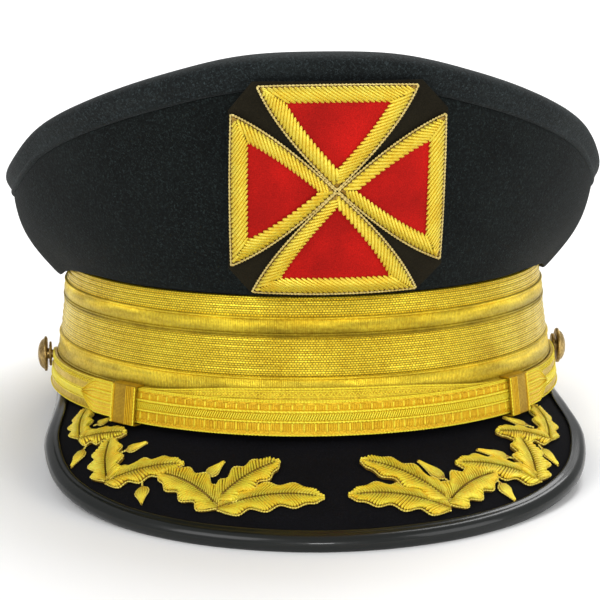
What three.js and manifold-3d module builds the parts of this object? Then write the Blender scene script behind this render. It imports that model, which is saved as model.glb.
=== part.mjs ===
// Peaked ceremonial fatigue cap. Millimetres, +Z up, the visor points to -Y.
// The cap is worked out level on its band. The whole group is then tipped onto the visor's edge
// and the back of the band, the way such a cap lies on a table.

import * as THREE from 'three';
import { mergeVertices } from 'three/addons/utils/BufferGeometryUtils.js';
import Module from 'manifold-3d';

// Fit and rest
const fitGap = 0.3;
const restFlat = 0.4;

// Band: a stiff frame that leans in towards its top, with a wide lace round it
const headHalfWidth = 85;
const headHalfLength = 101;
const frameWall = 2.2;
const bandHeight = 45;
const bandLean = 5.4;
const laceWall = 1.8;
const laceRelief = 0.8;
const laceFoot = 1.8;
const laceHead = 1.2;

// Crown: a flaring side wall, a seam, and a rolled top
const clothWall = 1.8;
const crownRise = 66;
const seamHalfWidth = 103;
const seamFront = 117;
const seamBack = 118;
const crownOverhang = 5.2;
const hemDrop = 8;
const sideBulge = 3.2;
const rollRise = 11;
const tipDome = 3;

// Chin strap, keepers and buttons
const strapFoot = 0.3;
const overWidth = 11.4;
const underWidth = 15.2;
const underWall = 1.0;
const overWall = 1.2;
const tongueTurn = 60;
const tongueLength = 9;
const keeperTurn = 45;
const keeperLength = 11.3;
const keeperBack = 0.5;
const keeperFront = 1.0;
const keeperRim = 1.1;
const buttonRadius = 6.35;
const buttonRise = 3.4;
const buttonNeck = 0.8;
const shankRadius = 1.5;
const shankClearance = 0.4;
const washerRadius = 4.4;
const washerWall = 0.7;

// Visor, its binding and the sprays
const visorReach = 42.8;
const visorDrop = 28;
const visorWall = 2.6;
const visorCamber = 1.5;
const visorTurn = 72;
const bindingRadius = 3;
const bindingTurn = 88;
const sprayRise = 1.3;

// Badge: a cross pattée on an octagonal backing
const badgeHalf = 35.4;
const badgeCorner = 11;
const badgeAside = 3.5;
const badgeCentre = 80.4;
const badgeWall = 1.2;
const armReach = 34.8;
const armSpread = 25.2;
const weltStandOff = 0.21;
const borderWidth = 5.1;
const borderRise = 2.2;
const fieldRise = 1.0;
const hubRadius = 4.2;

const roundSteps = 44;
const deg = Math.PI / 180;
const mix = THREE.MathUtils.lerp;

// Seam height as a share of the crown's rise, and the hem's hang as a share of the hem's drop
const crownRows = [
  { turn: 0, rise: 1.0, hang: 0.15 },
  { turn: 15, rise: 0.98, hang: 0.12 },
  { turn: 30, rise: 0.89, hang: 0.1 },
  { turn: 45, rise: 0.77, hang: 0.1 },
  { turn: 60, rise: 0.625, hang: 0.1 },
  { turn: 75, rise: 0.43, hang: 0.35 },
  { turn: 90, rise: 0.31, hang: 1.0 },
  { turn: 110, rise: 0.25, hang: 0.9 },
  { turn: 135, rise: 0.23, hang: 0.6 },
  { turn: 180, rise: 0.23, hang: 0.5 },
];

// Roll above the seam, outwards and upwards, as shares of the roll's rise; the second row is the welt
const rollRows = [
  { out: 0.0, up: 0.025 },
  { out: 0.11, up: 0.1 },
  { out: 0.07, up: 0.25 },
  { out: 0.2, up: 0.4 },
  { out: 0.26, up: 0.56 },
  { out: 0.18, up: 0.79 },
  { out: -0.14, up: 0.94 },
  { out: -0.75, up: 1.0 },
];

// Lace profile from foot to top: height as a share of the band, relief as a share of the ridges
const laceRows = [
  { up: 0.315, relief: 0.0 },
  { up: 0.325, relief: 0.8 },
  { up: 0.385, relief: 0.6 },
  { up: 0.4, relief: 1.0 },
  { up: 0.415, relief: 0.0 },
  { up: 0.68, relief: 0.0 },
  { up: 0.69, relief: 0.9 },
  { up: 0.715, relief: 0.6 },
  { up: 0.81, relief: 0.6 },
  { up: 0.825, relief: 1.0 },
  { up: 0.84, relief: 0.0 },
];

// Top edge of the strap's under layer, as a share of its width
const underRows = [
  { turn: 0, top: 1.0 },
  { turn: 20, top: 0.95 },
  { turn: 38, top: 0.77 },
  { turn: 60, top: 0.72 },
  { turn: 100, top: 0.7 },
];

// Visor's outer edge: reach beyond the band and drop, as shares of the visor's reach and drop
const visorRows = [
  { bearing: 0, reach: 1.0, drop: 1.0 },
  { bearing: 10, reach: 0.99, drop: 0.985 },
  { bearing: 20, reach: 0.96, drop: 0.95 },
  { bearing: 30, reach: 0.9, drop: 0.87 },
  { bearing: 40, reach: 0.79, drop: 0.71 },
  { bearing: 50, reach: 0.56, drop: 0.48 },
  { bearing: 60, reach: 0.28, drop: 0.31 },
  { bearing: 70, reach: 0.122, drop: 0.25 },
  { bearing: 80, reach: 0.061, drop: 0.24 },
  { bearing: 90, reach: 0.035, drop: 0.24 },
];

// Rolled binding's section, as shares of its radius: outer skin, and the slot for the visor's edge
const bindingRows = [
  { out: -0.85, up: 0.8, slot: -0.85, side: 1 },
  { out: -0.1, up: 1.0, slot: 0.1, side: 1 },
  { out: 0.7, up: 0.7, slot: 0.42, side: 0.66 },
  { out: 1.0, up: 0.0, slot: 0.54, side: 0 },
  { out: 0.7, up: -0.7, slot: 0.42, side: -0.66 },
  { out: -0.1, up: -1.0, slot: 0.1, side: -1 },
  { out: -0.85, up: -0.8, slot: -0.85, side: -1 },
];

// Oak leaves of one spray, from base to tip, with their widest width: across from the cap's middle
// and ahead of it, all as shares of the head's half width
const leafRows = [
  { across: 0.925, ahead: 0.905, toAcross: 0.88, toAhead: 0.66, width: 0.085 },
  { across: 0.93, ahead: 0.905, toAcross: 0.71, toAhead: 0.99, width: 0.1 },
  { across: 0.8, ahead: 1.225, toAcross: 0.795, toAhead: 0.975, width: 0.13 },
  { across: 0.8, ahead: 1.22, toAcross: 0.51, toAhead: 1.262, width: 0.12 },
  { across: 0.415, ahead: 1.5, toAcross: 0.665, toAhead: 1.275, width: 0.15 },
  { across: 0.42, ahead: 1.47, toAcross: 0.153, toAhead: 1.34, width: 0.125 },
  { across: 0.42, ahead: 1.508, toAcross: 0.046, toAhead: 1.516, width: 0.14 },
];

// Buds, each from the foot of its stem to its tip, in the same shares
const budRows = [
  { across: 0.9, ahead: 0.83, toAcross: 0.825, toAhead: 0.78, width: 0.045 },
  { across: 0.775, ahead: 1.123, toAcross: 0.624, toAhead: 1.112, width: 0.055 },
  { across: 0.87, ahead: 0.95, toAcross: 0.925, toAhead: 1.075, width: 0.05 },
  { across: 0.66, ahead: 1.25, toAcross: 0.685, toAhead: 1.375, width: 0.06 },
  { across: 0.465, ahead: 1.41, toAcross: 0.36, toAhead: 1.306, width: 0.06 },
];

// Leaf outline and bud outline from base to tip: half width as a share of half the widest width
const leafOutline = [
  { along: 0, wide: 0.25 },
  { along: 0.2, wide: 0.8 },
  { along: 0.34, wide: 0.7 },
  { along: 0.52, wide: 1.0 },
  { along: 0.66, wide: 0.74 },
  { along: 0.82, wide: 0.8 },
  { along: 1, wide: 0.16 },
];
const budOutline = [
  { along: 0, wide: 0.3 },
  { along: 0.35, wide: 0.3 },
  { along: 0.58, wide: 1.0 },
  { along: 1, wide: 0.12 },
];

const wasm = await Module();
wasm.setup();

// Smooth reading of a table between its rows, level at both ends
function smooth(rows, key, column, at) {
  const last = rows.length - 1;
  let i = 0;
  while (i < last - 1 && at > rows[i + 1][key]) {
    i += 1;
  }
  const slope = (k) => (k === 0 || k === last ? 0
    : (rows[k + 1][column] - rows[k - 1][column]) / (rows[k + 1][key] - rows[k - 1][key]));
  const span = rows[i + 1][key] - rows[i][key];
  const s = THREE.MathUtils.clamp((at - rows[i][key]) / span, 0, 1);
  const rise = s * s * (3 - 2 * s);
  return mix(rows[i][column], rows[i + 1][column], rise)
    + slope(i) * span * s * (1 - s) ** 2 - slope(i + 1) * span * s * s * (1 - s);
}

// Even values from one end to the other, both included
function evenly(from, to, count) {
  return Array.from({ length: count + 1 }, (_, i) => mix(from, to, i / count));
}

const roundTurns = evenly(0, 2 * Math.PI, roundSteps).slice(0, roundSteps);

// Angle from the front in whole degrees, the same on both sides
function fromFront(turn) {
  return Math.abs(Math.atan2(Math.sin(turn), Math.cos(turn))) / deg;
}

// Point on an oval that may reach further to the back than to the front
function onOval(turn, ring) {
  const reach = Math.cos(turn) > 0 ? ring.front : ring.back;
  return new THREE.Vector3(ring.half * Math.sin(turn), -reach * Math.cos(turn), ring.up);
}

// Ring of the band, a given distance out from the head opening and at a given height
function bandRing(out, up) {
  const grow = out - bandLean * up / bandHeight;
  const length = headHalfLength + grow;
  return { half: headHalfWidth + grow, front: length, back: length, up };
}

// Geometry with shared vertices, no flat triangles, and faces that point out
function tidy(points, triangles) {
  const loose = new THREE.BufferGeometry();
  const places = points.flatMap((p) => [p.x, p.y, p.z]);
  loose.setAttribute('position', new THREE.Float32BufferAttribute(places, 3));
  loose.setIndex(triangles);
  const merged = mergeVertices(loose, 1e-4);
  const index = merged.index.array;
  const at = (i) => new THREE.Vector3().fromBufferAttribute(merged.attributes.position, i);
  const kept = [];
  let volume = 0;
  for (let i = 0; i < index.length; i += 3) {
    const [a, b, c] = [index[i], index[i + 1], index[i + 2]];
    if (a !== b && b !== c && c !== a) {
      kept.push([a, b, c]);
      volume += at(a).dot(at(b).cross(at(c)));
    }
  }
  merged.setIndex(kept.flatMap(([a, b, c]) => (volume > 0 ? [a, b, c] : [a, c, b])));
  return merged;
}

// Solid between an outer and an inner skin, each a row of points for every station.
// A closed run joins its last station to its first; an open one is capped at both ends.
function between(outer, inner, closed) {
  const loops = outer.map((row, i) => [...row, ...[...inner[i]].reverse()]);
  const size = loops[0].length;
  const count = loops.length;
  const at = (i, k) => (i % count) * size + (k % size);
  const triangles = [];
  const quad = (a, b, c, d) => triangles.push(a, b, c, a, c, d);
  for (let i = 0; i < (closed ? count : count - 1); i += 1) {
    for (let k = 0; k < size; k += 1) {
      quad(at(i, k), at(i + 1, k), at(i + 1, k + 1), at(i, k + 1));
    }
  }
  if (!closed) {
    const end = count - 1;
    for (let k = 0; k < outer[0].length - 1; k += 1) {
      quad(at(0, k), at(0, k + 1), at(0, size - 2 - k), at(0, size - 1 - k));
      quad(at(end, k + 1), at(end, k), at(end, size - 1 - k), at(end, size - 2 - k));
    }
  }
  return tidy(loops.flat(), triangles);
}

// Solid all the way round, from the rings that a function gives for each turn
function roundSolid(outerRings, innerRings) {
  const outer = roundTurns.map((turn) => outerRings(turn).map((ring) => onOval(turn, ring)));
  const inner = roundTurns.map((turn) => innerRings(turn).map((ring) => onOval(turn, ring)));
  return between(outer, inner, true);
}

function toSolid(geometry) {
  const plain = geometry.clone();
  plain.deleteAttribute('normal');
  plain.deleteAttribute('uv');
  const merged = mergeVertices(plain.index ? plain : plain.toNonIndexed(), 1e-4);
  return new wasm.Manifold(new wasm.Mesh({
    numProp: 3,
    vertProperties: new Float32Array(merged.attributes.position.array),
    triVerts: new Uint32Array(merged.index.array),
  }));
}

function fromSolid(solid) {
  const mesh = solid.getMesh();
  const geometry = new THREE.BufferGeometry();
  geometry.setAttribute('position', new THREE.Float32BufferAttribute(mesh.vertProperties, 3));
  geometry.setIndex(Array.from(mesh.triVerts));
  return geometry;
}

function cut(geometry, ...tools) {
  return fromSolid(tools.reduce((solid, tool) => solid.subtract(toSolid(tool)), toSolid(geometry)));
}

function join(...geometries) {
  return fromSolid(geometries.map(toSolid).reduce((all, one) => all.add(one)));
}

// The plane that the cap rests on: back of the band to the visor's front edge
const frameHalfLength = headHalfLength + frameWall;
const restTilt = Math.atan2(visorDrop, 2 * frameHalfLength + visorReach);
const restBack = new THREE.Vector3(0, frameHalfLength, 0);
const restUp = new THREE.Vector3(0, Math.sin(-restTilt), Math.cos(restTilt));

// Slab under the resting plane, a little sunk, that takes the flats off what touches the table
function tableSlab() {
  const wide = 8 * headHalfLength;
  const slab = new THREE.BoxGeometry(wide, wide, wide);
  slab.rotateX(restTilt);
  const centre = restBack.clone().addScaledVector(restUp, restFlat - wide / 2);
  slab.translate(centre.x, centre.y, centre.z);
  return slab;
}

// Cap frame
const laceOut = frameWall + fitGap + laceWall;
const strapOut = laceOut + 2 * fitGap + keeperBack;
const overOut = strapOut + underWall + fitGap;
const buttonUp = strapFoot + overWidth * 0.72;

function shankHole(side) {
  const long = 2 * (laceOut + strapOut);
  const radius = shankRadius + shankClearance;
  const hole = new THREE.CylinderGeometry(radius, radius, long, 12);
  hole.rotateZ(Math.PI / 2);
  hole.translate(side * headHalfWidth, 0, buttonUp);
  return hole;
}

function bandFrame() {
  const wall = roundSolid(
    () => [bandRing(frameWall, 0), bandRing(frameWall, bandHeight)],
    () => [bandRing(0, 0), bandRing(0, bandHeight)],
  );
  return cut(wall, tableSlab(), shankHole(1), shankHole(-1));
}

function bandLace() {
  const face = [
    bandRing(laceOut, laceFoot),
    ...laceRows.map((row) => bandRing(laceOut + laceRelief * row.relief, bandHeight * row.up)),
    bandRing(laceOut, bandHeight - laceHead),
  ];
  const back = [laceFoot, bandHeight - laceHead].map((up) => bandRing(laceOut - laceWall, up));
  return cut(roundSolid(() => face, () => back), shankHole(1), shankHole(-1));
}

// Crown
function hang(turn) {
  return smooth(crownRows, 'turn', 'hang', fromFront(turn));
}

function hemUp(turn) {
  return bandHeight - hemDrop * hang(turn);
}

function seamUp(turn) {
  return bandHeight + crownRise * smooth(crownRows, 'turn', 'rise', fromFront(turn));
}

// Ring of the crown's wall: share 0 at the hem, 1 at the seam, a distance out from its outer face
function crownRing(turn, share, out) {
  const hem = bandRing(laceOut + crownOverhang * mix(0.3, 1, hang(turn)), bandHeight);
  const bulge = sideBulge * mix(0.25, 1, Math.sin(turn) ** 2) * Math.sin(Math.PI * share);
  return {
    half: mix(hem.half, seamHalfWidth, share) + bulge + out,
    front: mix(hem.front, seamFront, share) + bulge + out,
    back: mix(hem.back, seamBack, share) + bulge + out,
    up: mix(hemUp(turn) + clothWall, seamUp(turn), share),
  };
}

const wallShares = [0, 0.14, 0.32, 0.55, 0.78, 1];

function crownSide() {
  const flangeUp = bandHeight + fitGap;
  const outer = (turn) => {
    const drop = bandHeight - hemUp(turn);
    const cover = laceOut + laceRelief * hang(turn) + 2 * fitGap;
    const slackRing = bandRing(cover, bandHeight - drop);
    return [
      bandRing(0, flangeUp),
      bandRing(cover, flangeUp),
      { ...slackRing, up: hemUp(turn) + clothWall / 2 },
      { ...bandRing(cover + clothWall / 2, bandHeight - drop), up: hemUp(turn) },
      ...wallShares.map((share) => crownRing(turn, share, 0)),
    ];
  };
  const inner = (turn) => [
    bandRing(0, flangeUp + clothWall),
    bandRing(laceOut, flangeUp + clothWall),
    ...wallShares.slice(3).map((share) => {
      const ring = crownRing(turn, share, -clothWall);
      return { ...ring, up: Math.max(ring.up, flangeUp + clothWall) };
    }),
  ];
  return roundSolid(outer, inner);
}

// Waves of the rim's height round the crown, which the flat top carries inwards
const tipWaves = Array.from({ length: 9 }, (_, wave) => {
  const sum = roundTurns.reduce((total, turn) => total + seamUp(turn) * Math.cos(wave * turn), 0);
  return sum * (wave === 0 ? 1 : 2) / roundSteps;
});

// Height of the flat top at a share of the way from its middle to its rim
function tipUp(turn, share) {
  const level = tipWaves.reduce((sum, size, wave) => sum + size * share ** wave * Math.cos(wave * turn), 0);
  return level + tipDome * (1 - share * share);
}

const tipShares = [0.75, 0.4, 0];

function rollRing(turn, row) {
  const out = rollRise * row.out;
  return {
    half: seamHalfWidth + out,
    front: seamFront + out,
    back: seamBack + out,
    up: seamUp(turn) + rollRise * row.up,
  };
}

// Rings a wall's thickness inside a run of rings, square to the run
function lining(rings, wall) {
  return rings.map((ring, i) => {
    const before = rings[Math.max(i - 1, 0)];
    const after = rings[Math.min(i + 1, rings.length - 1)];
    const run = new THREE.Vector2(after.half - before.half, after.up - before.up).normalize();
    return {
      half: ring.half - run.y * wall,
      front: ring.front - run.y * wall,
      back: ring.back - run.y * wall,
      up: ring.up + run.x * wall,
    };
  });
}

// Rings of the flat top inside the roll; what the waves leave out fades away from the rim
function tipRings(turn, rim) {
  const left = seamUp(turn) - tipUp(turn, 1);
  return tipShares.map((share) => ({
    half: rim.half * share,
    front: rim.front * share,
    back: rim.back * share,
    up: rim.up - seamUp(turn) + tipUp(turn, share) + left * share ** 8,
  }));
}

// The roll and the flat top in one wall; the welt and the groove over it show on the outside only
function crownTop() {
  const roll = (turn) => rollRows.map((row) => rollRing(turn, row));
  const withTip = (turn, rings) => [...rings, ...tipRings(turn, rings.at(-1))];
  const outer = (turn) => withTip(turn, roll(turn));
  const inner = (turn) => withTip(turn, lining(roll(turn), clothWall).filter((_, i) => i !== 1 && i !== 3));
  return roundSolid(outer, inner);
}

// Strap: a run of wall on the band between two turns, foot and top given for each turn
function strapSolid(turns, out, wall, foot, top) {
  const face = (turn, from) => [foot(turn), top(turn)].map((up) => onOval(turn, bandRing(from, up)));
  return between(
    turns.map((turn) => face(turn, out + wall)),
    turns.map((turn) => face(turn, out)),
    false,
  );
}

// Turn that lies a distance along the band from a given turn
function alongBand(turn, distance) {
  const ring = bandRing(strapOut, 0);
  return turn + distance / Math.hypot(ring.half * Math.cos(turn), ring.front * Math.sin(turn));
}

const keeperTurns = [-keeperLength / 2, 0, keeperLength / 2].map((d) => alongBand(keeperTurn * deg, d));
const underTop = (turn) => strapFoot + underWidth * smooth(underRows, 'turn', 'top', fromFront(turn));

// Turns of a strap's stations on both sides, from those of its right half
function bothSides(half) {
  return [...half.slice(1).reverse().map((turn) => -turn), ...half];
}

// Stations of the stretch in front of the keepers
const frontTurns = evenly(0, keeperTurn * 0.7 * deg, 4);

function strapUnder() {
  const side = Math.PI / 2;
  const end = alongBand(side, buttonRadius);
  const past = evenly(keeperTurns[2], side, 4).slice(1);
  const turns = bothSides([...frontTurns, ...keeperTurns, ...past, end]);
  const round = (turn) => (Math.abs(turn) > Math.PI / 2 ? overWidth * 0.25 : 0);
  const strap = strapSolid(
    turns,
    strapOut,
    underWall,
    (turn) => strapFoot + round(turn),
    (turn) => underTop(turn) - round(turn),
  );
  return cut(strap, shankHole(1), shankHole(-1));
}

function strapOver() {
  const tip = tongueTurn * deg;
  const shoulder = alongBand(tip, -tongueLength);
  const past = [(shoulder + keeperTurns[2]) / 2, shoulder, (shoulder + tip) / 2, tip];
  const turns = bothSides([...frontTurns, ...keeperTurns, ...past]);
  const taper = (turn) => {
    const share = THREE.MathUtils.clamp((Math.abs(turn) - shoulder) / (tip - shoulder), 0, 1);
    return overWidth * 0.44 * share * share;
  };
  return strapSolid(turns, overOut, overWall, (turn) => strapFoot + taper(turn),
    (turn) => strapFoot + overWidth - taper(turn));
}

function keeper(side) {
  const hollowTop = Math.max(strapFoot + overWidth, underTop(keeperTurns[0])) + fitGap;
  const hollow = {
    in: strapOut - fitGap,
    out: overOut + overWall + fitGap,
    foot: strapFoot - fitGap,
    top: hollowTop,
  };
  const body = {
    in: hollow.in - keeperBack,
    out: hollow.out + keeperFront,
    foot: hollow.foot - keeperRim,
    top: hollow.top + keeperRim,
  };
  const corners = [['in', 'foot'], ['out', 'foot'], ['out', 'top'], ['in', 'top']];
  const skin = (box) => corners.map(([out, up]) => keeperTurns.map((turn) => (
    onOval(side * turn, bandRing(box[out], box[up]))
  )));
  return between(skin(body), skin(hollow), true);
}

// Button: dome, neck, washer, and a shank through the band to a small disc inside
function button(side) {
  const slant = bandLean / bandHeight;
  const wall = headHalfWidth - slant * buttonUp;
  const disc = washerRadius * 0.7;
  const inside = wall - fitGap - disc * slant;
  const washer = wall + strapOut + underWall + fitGap + washerRadius * slant;
  const dome = washer + washerWall + buttonNeck;
  const outline = [
    [0, inside - washerWall],
    [disc, inside - washerWall],
    [disc, inside],
    [shankRadius, inside],
    [shankRadius, washer],
    [washerRadius, washer],
    [washerRadius, washer + washerWall],
    [shankRadius * 1.3, washer + washerWall],
    [shankRadius * 1.3, dome],
    [buttonRadius * 0.93, dome],
    [buttonRadius, dome + buttonRise * 0.2],
    [buttonRadius * 0.85, dome + buttonRise * 0.6],
    [buttonRadius * 0.5, dome + buttonRise * 0.9],
    [0, dome + buttonRise],
  ];
  const lathe = new THREE.LatheGeometry(outline.map(([r, out]) => new THREE.Vector2(r, out)), 14);
  lathe.deleteAttribute('normal');
  lathe.deleteAttribute('uv');
  lathe.rotateZ(-side * Math.PI / 2);
  lathe.translate(0, 0, buttonUp);
  const places = lathe.attributes.position;
  const place = (_, i) => new THREE.Vector3().fromBufferAttribute(places, i);
  return tidy(Array.from({ length: places.count }, place), Array.from(lathe.index.array));
}

// Visor
function polar(bearing, half, length) {
  return 1 / Math.hypot(Math.sin(bearing) / half, Math.cos(bearing) / length);
}

// Middle surface of the visor: share 0 under the band, 1 at the binding's centre
function visorMiddle(bearing, share) {
  const at = Math.abs(bearing) / deg;
  const root = polar(bearing, headHalfWidth + fitGap, headHalfLength + fitGap);
  const reach = visorReach * smooth(visorRows, 'bearing', 'reach', at) - bindingRadius;
  const rim = polar(bearing, headHalfWidth + frameWall, frameHalfLength) + reach;
  const drop = visorDrop * smooth(visorRows, 'bearing', 'drop', at) - bindingRadius;
  const radius = mix(root, rim, share);
  const camber = visorCamber * Math.sin(Math.PI * share) * (rim - root) / visorReach;
  const up = mix(-fitGap - visorWall / 2, -drop, share) + camber;
  return new THREE.Vector3(radius * Math.sin(bearing), -radius * Math.cos(bearing), up);
}

function visorUp(bearing, share) {
  const step = 0.001;
  const round = visorMiddle(bearing + step, share).sub(visorMiddle(bearing - step, share));
  const outwards = visorMiddle(bearing, share + step).sub(visorMiddle(bearing, share - step));
  return outwards.cross(round).normalize();
}

function onVisor(bearing, share, lift) {
  return visorMiddle(bearing, share).addScaledVector(visorUp(bearing, share), lift);
}

const visorBearings = evenly(-visorTurn, visorTurn, 24).map((t) => t * deg);
const visorShares = [0, 0.3, 0.65, 1];

function visor() {
  const face = (lift) => visorBearings.map((b) => visorShares.map((share) => onVisor(b, share, lift)));
  return between(face(visorWall / 2), face(-visorWall / 2), false);
}

function visorBinding() {
  const tail = evenly(visorTurn, bindingTurn, 4).slice(1).map((t) => t * deg);
  const bearings = [...[...tail].reverse().map((t) => -t), ...visorBearings, ...tail];
  const skin = (place) => bearings.map((bearing) => {
    const step = 0.001;
    const centre = visorMiddle(bearing, 1);
    const run = visorMiddle(bearing + step, 1).sub(visorMiddle(bearing - step, 1)).normalize();
    const up = visorUp(bearing, 1);
    const out = run.clone().cross(up).normalize();
    return bindingRows.map((row) => {
      const [x, y] = place(row);
      return centre.clone().addScaledVector(out, x).addScaledVector(up, y);
    });
  });
  const slotHalf = visorWall / 2 + fitGap;
  const binding = between(
    skin((row) => [bindingRadius * row.out, bindingRadius * row.up]),
    skin((row) => [bindingRadius * row.slot, slotHalf * row.side]),
    false,
  );
  return cut(binding, tableSlab());
}

// Place on the visor's upper face, given across and ahead of the cap's middle
function onVisorFace(across, ahead, lift) {
  const bearing = Math.atan2(across, ahead);
  const root = visorMiddle(bearing, 0);
  const rim = visorMiddle(bearing, 1);
  const start = Math.hypot(root.x, root.y);
  const share = (Math.hypot(across, ahead) - start) / (Math.hypot(rim.x, rim.y) - start);
  return onVisor(bearing, share, visorWall / 2 + lift);
}

// One leaf or bud, two padded halves with a groove between them, laid on the visor
function sprig(row, outline, side, rise) {
  const base = new THREE.Vector2(row.across, row.ahead).multiplyScalar(headHalfWidth);
  const tip = new THREE.Vector2(row.toAcross, row.toAhead).multiplyScalar(headHalfWidth);
  const run = tip.clone().sub(base);
  const square = new THREE.Vector2(-run.y, run.x).normalize();
  const place = (along, out, lift) => {
    const at = base.clone().addScaledVector(run, along).addScaledVector(square, out);
    return onVisorFace(side * at.x, at.y, fitGap + lift);
  };
  const half = row.width * headHalfWidth / 2;
  const upper = outline.map(({ along, wide }) => [
    place(along, -half * wide, rise * 0.35),
    place(along, -half * wide * 0.5, rise),
    place(along, 0, rise * 0.7),
    place(along, half * wide * 0.5, rise),
    place(along, half * wide, rise * 0.35),
  ]);
  const lower = outline.map(({ along, wide }) => (
    [-1, -1, 0, 1, 1].map((edge) => place(along, half * wide * edge, 0))
  ));
  return between(upper, lower, false);
}

function spray(side) {
  const leaves = leafRows.map((row) => sprig(row, leafOutline, side, sprayRise));
  const buds = budRows.map((row) => sprig(row, budOutline, side, sprayRise * 0.8));
  return join(...leaves, ...buds);
}

// Badge: a place on the crown's front, u to the side, v up, and a lift off the cloth. Its width
// stays true where the crown flares, and it stands off at the seam, to clear the welt and the roll.
function onBadge(u, v, lift) {
  const lean = Math.atan2(seamFront - crownRing(0, 0, 0).front, crownRise);
  const up = badgeCentre + v * Math.cos(lean);
  const ringAt = (turn) => {
    const foot = crownRing(turn, 0, 0).up;
    const share = (up - foot) / (seamUp(turn) - foot);
    const standOff = weltStandOff * rollRise * THREE.MathUtils.smoothstep(share, 0.5, 0.97);
    return crownRing(turn, Math.min(share, 1), 2 * fitGap + lift + standOff);
  };
  const turnOn = (ring) => Math.asin((u + badgeAside) / ring.half);
  const turn = turnOn(ringAt(turnOn(ringAt(0))));
  return onOval(turn, { ...ringAt(turn), up });
}

// Points along an outline's sides, each side in the same number of steps
function alongSides(corners, steps) {
  return corners.flatMap(([u, v], i) => {
    const [nextU, nextV] = corners[(i + 1) % corners.length];
    return Array.from({ length: steps }, (_, k) => [mix(u, nextU, k / steps), mix(v, nextV, k / steps)]);
  });
}

// Plate with a given outline, bent to the crown, between two lifts
function badgePlate(outline, low, high, shares) {
  const mean = (k) => outline.reduce((sum, point) => sum + point[k], 0) / outline.length;
  const [midU, midV] = [mean(0), mean(1)];
  const skin = (lift) => outline.map(([u, v]) => shares.map((share) => (
    onBadge(mix(midU, u, share), mix(midV, v, share), lift)
  )));
  return between(skin(high), skin(low), true);
}

function badgeBacking() {
  const far = badgeHalf;
  const near = badgeHalf - badgeCorner;
  const upper = [[far, near], [near, far], [-near, far], [-far, near]];
  const corners = [...upper, ...upper.map(([u, v]) => [-u, -v])];
  return badgePlate(alongSides(corners, 3), 0, badgeWall, [1, 0.66, 0.33, 0]);
}

// Corners of one arm's triangle, drawn in by a margin, for the arm that points to a quarter turn
function armCorners(quarter, margin) {
  const flank = Math.atan2(armSpread, armReach);
  const apex = margin / Math.sin(flank);
  const reach = armReach - margin;
  const spread = (reach - apex) * Math.tan(flank);
  const angle = quarter * Math.PI / 2;
  const turned = ([along, across]) => [
    along * Math.sin(angle) + across * Math.cos(angle),
    along * Math.cos(angle) - across * Math.sin(angle),
  ];
  return [[apex, 0], [reach, spread], [reach, -spread]].map(turned);
}

function badgeField(quarter) {
  const outline = alongSides(armCorners(quarter, borderWidth + fitGap), 4);
  const low = badgeWall + fitGap;
  return badgePlate(outline, low, low + fieldRise, [1, 0.5, 0]);
}

function badgeBorder() {
  const low = badgeWall + fitGap;
  const rings = [0, 1, 2, 3].map((quarter) => {
    const outline = alongSides(armCorners(quarter, hubRadius * 0.1), 3);
    const hole = alongSides(armCorners(quarter, borderWidth), 3);
    const across = (share) => ([u, v], i) => [mix(u, hole[i][0], share), mix(v, hole[i][1], share)];
    const crest = (share, lift) => outline.map(across(share)).map(([u, v]) => onBadge(u, v, lift));
    const edgeUp = low + borderRise * 0.6;
    const high = [crest(0, edgeUp), crest(0.5, low + borderRise), crest(1, edgeUp)];
    const flat = [0, 0.5, 1].map((share) => crest(share, low));
    const columns = (rows) => outline.map((_, i) => rows.map((row) => row[i]));
    return between(columns(high), columns(flat), true);
  });
  const hub = Array.from({ length: 12 }, (_, i) => {
    const angle = i * Math.PI / 6;
    return [hubRadius * Math.cos(angle), hubRadius * Math.sin(angle)];
  });
  return join(...rings, badgePlate(hub, low, low + borderRise * 0.8, [1, 0]));
}

// Assembly
const wool = { color: 0x20242a, roughness: 0.95, metalness: 0 };
const lace = { color: 0xd1aa32, roughness: 0.45, metalness: 0.7 };
const gold = { color: 0xe0b52e, roughness: 0.4, metalness: 0.75 };
const brass = { color: 0xb08a3c, roughness: 0.3, metalness: 1 };
const velvet = { color: 0x0c0d10, roughness: 0.9, metalness: 0 };
const patent = { color: 0x101216, roughness: 0.12, metalness: 0 };
const felt = { color: 0xb81b16, roughness: 0.9, metalness: 0 };

const cap = new THREE.Group();

function add(name, geometry, finish) {
  const mesh = new THREE.Mesh(geometry, new THREE.MeshStandardMaterial(finish));
  mesh.name = name;
  cap.add(mesh);
}

add('band_frame', bandFrame(), wool);
add('band_lace', bandLace(), lace);
add('crown_side', crownSide(), wool);
add('crown_top', crownTop(), wool);
add('strap_under', strapUnder(), gold);
add('strap_over', strapOver(), gold);
add('keeper_left', keeper(-1), gold);
add('keeper_right', keeper(1), gold);
add('button_left', button(-1), brass);
add('button_right', button(1), brass);
add('visor', visor(), velvet);
add('visor_binding', visorBinding(), patent);
add('spray_left', spray(-1), gold);
add('spray_right', spray(1), gold);
add('badge_backing', badgeBacking(), velvet);
['top', 'right', 'bottom', 'left'].forEach((name, quarter) => {
  add(`badge_arm_${name}`, badgeField(quarter), felt);
});
add('badge_border', badgeBorder(), gold);

// Tip the cap onto its visor and band, and set the middle of its footprint at the origin
cap.rotation.x = -restTilt;
cap.updateMatrixWorld(true);
const reach = new THREE.Box3().setFromObject(cap, true);
cap.position.set(0, -(reach.min.y + reach.max.y) / 2, -reach.min.z);
cap.updateMatrixWorld(true);

const group = new THREE.Group();
group.add(cap);

export default group;
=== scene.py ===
import math

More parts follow.
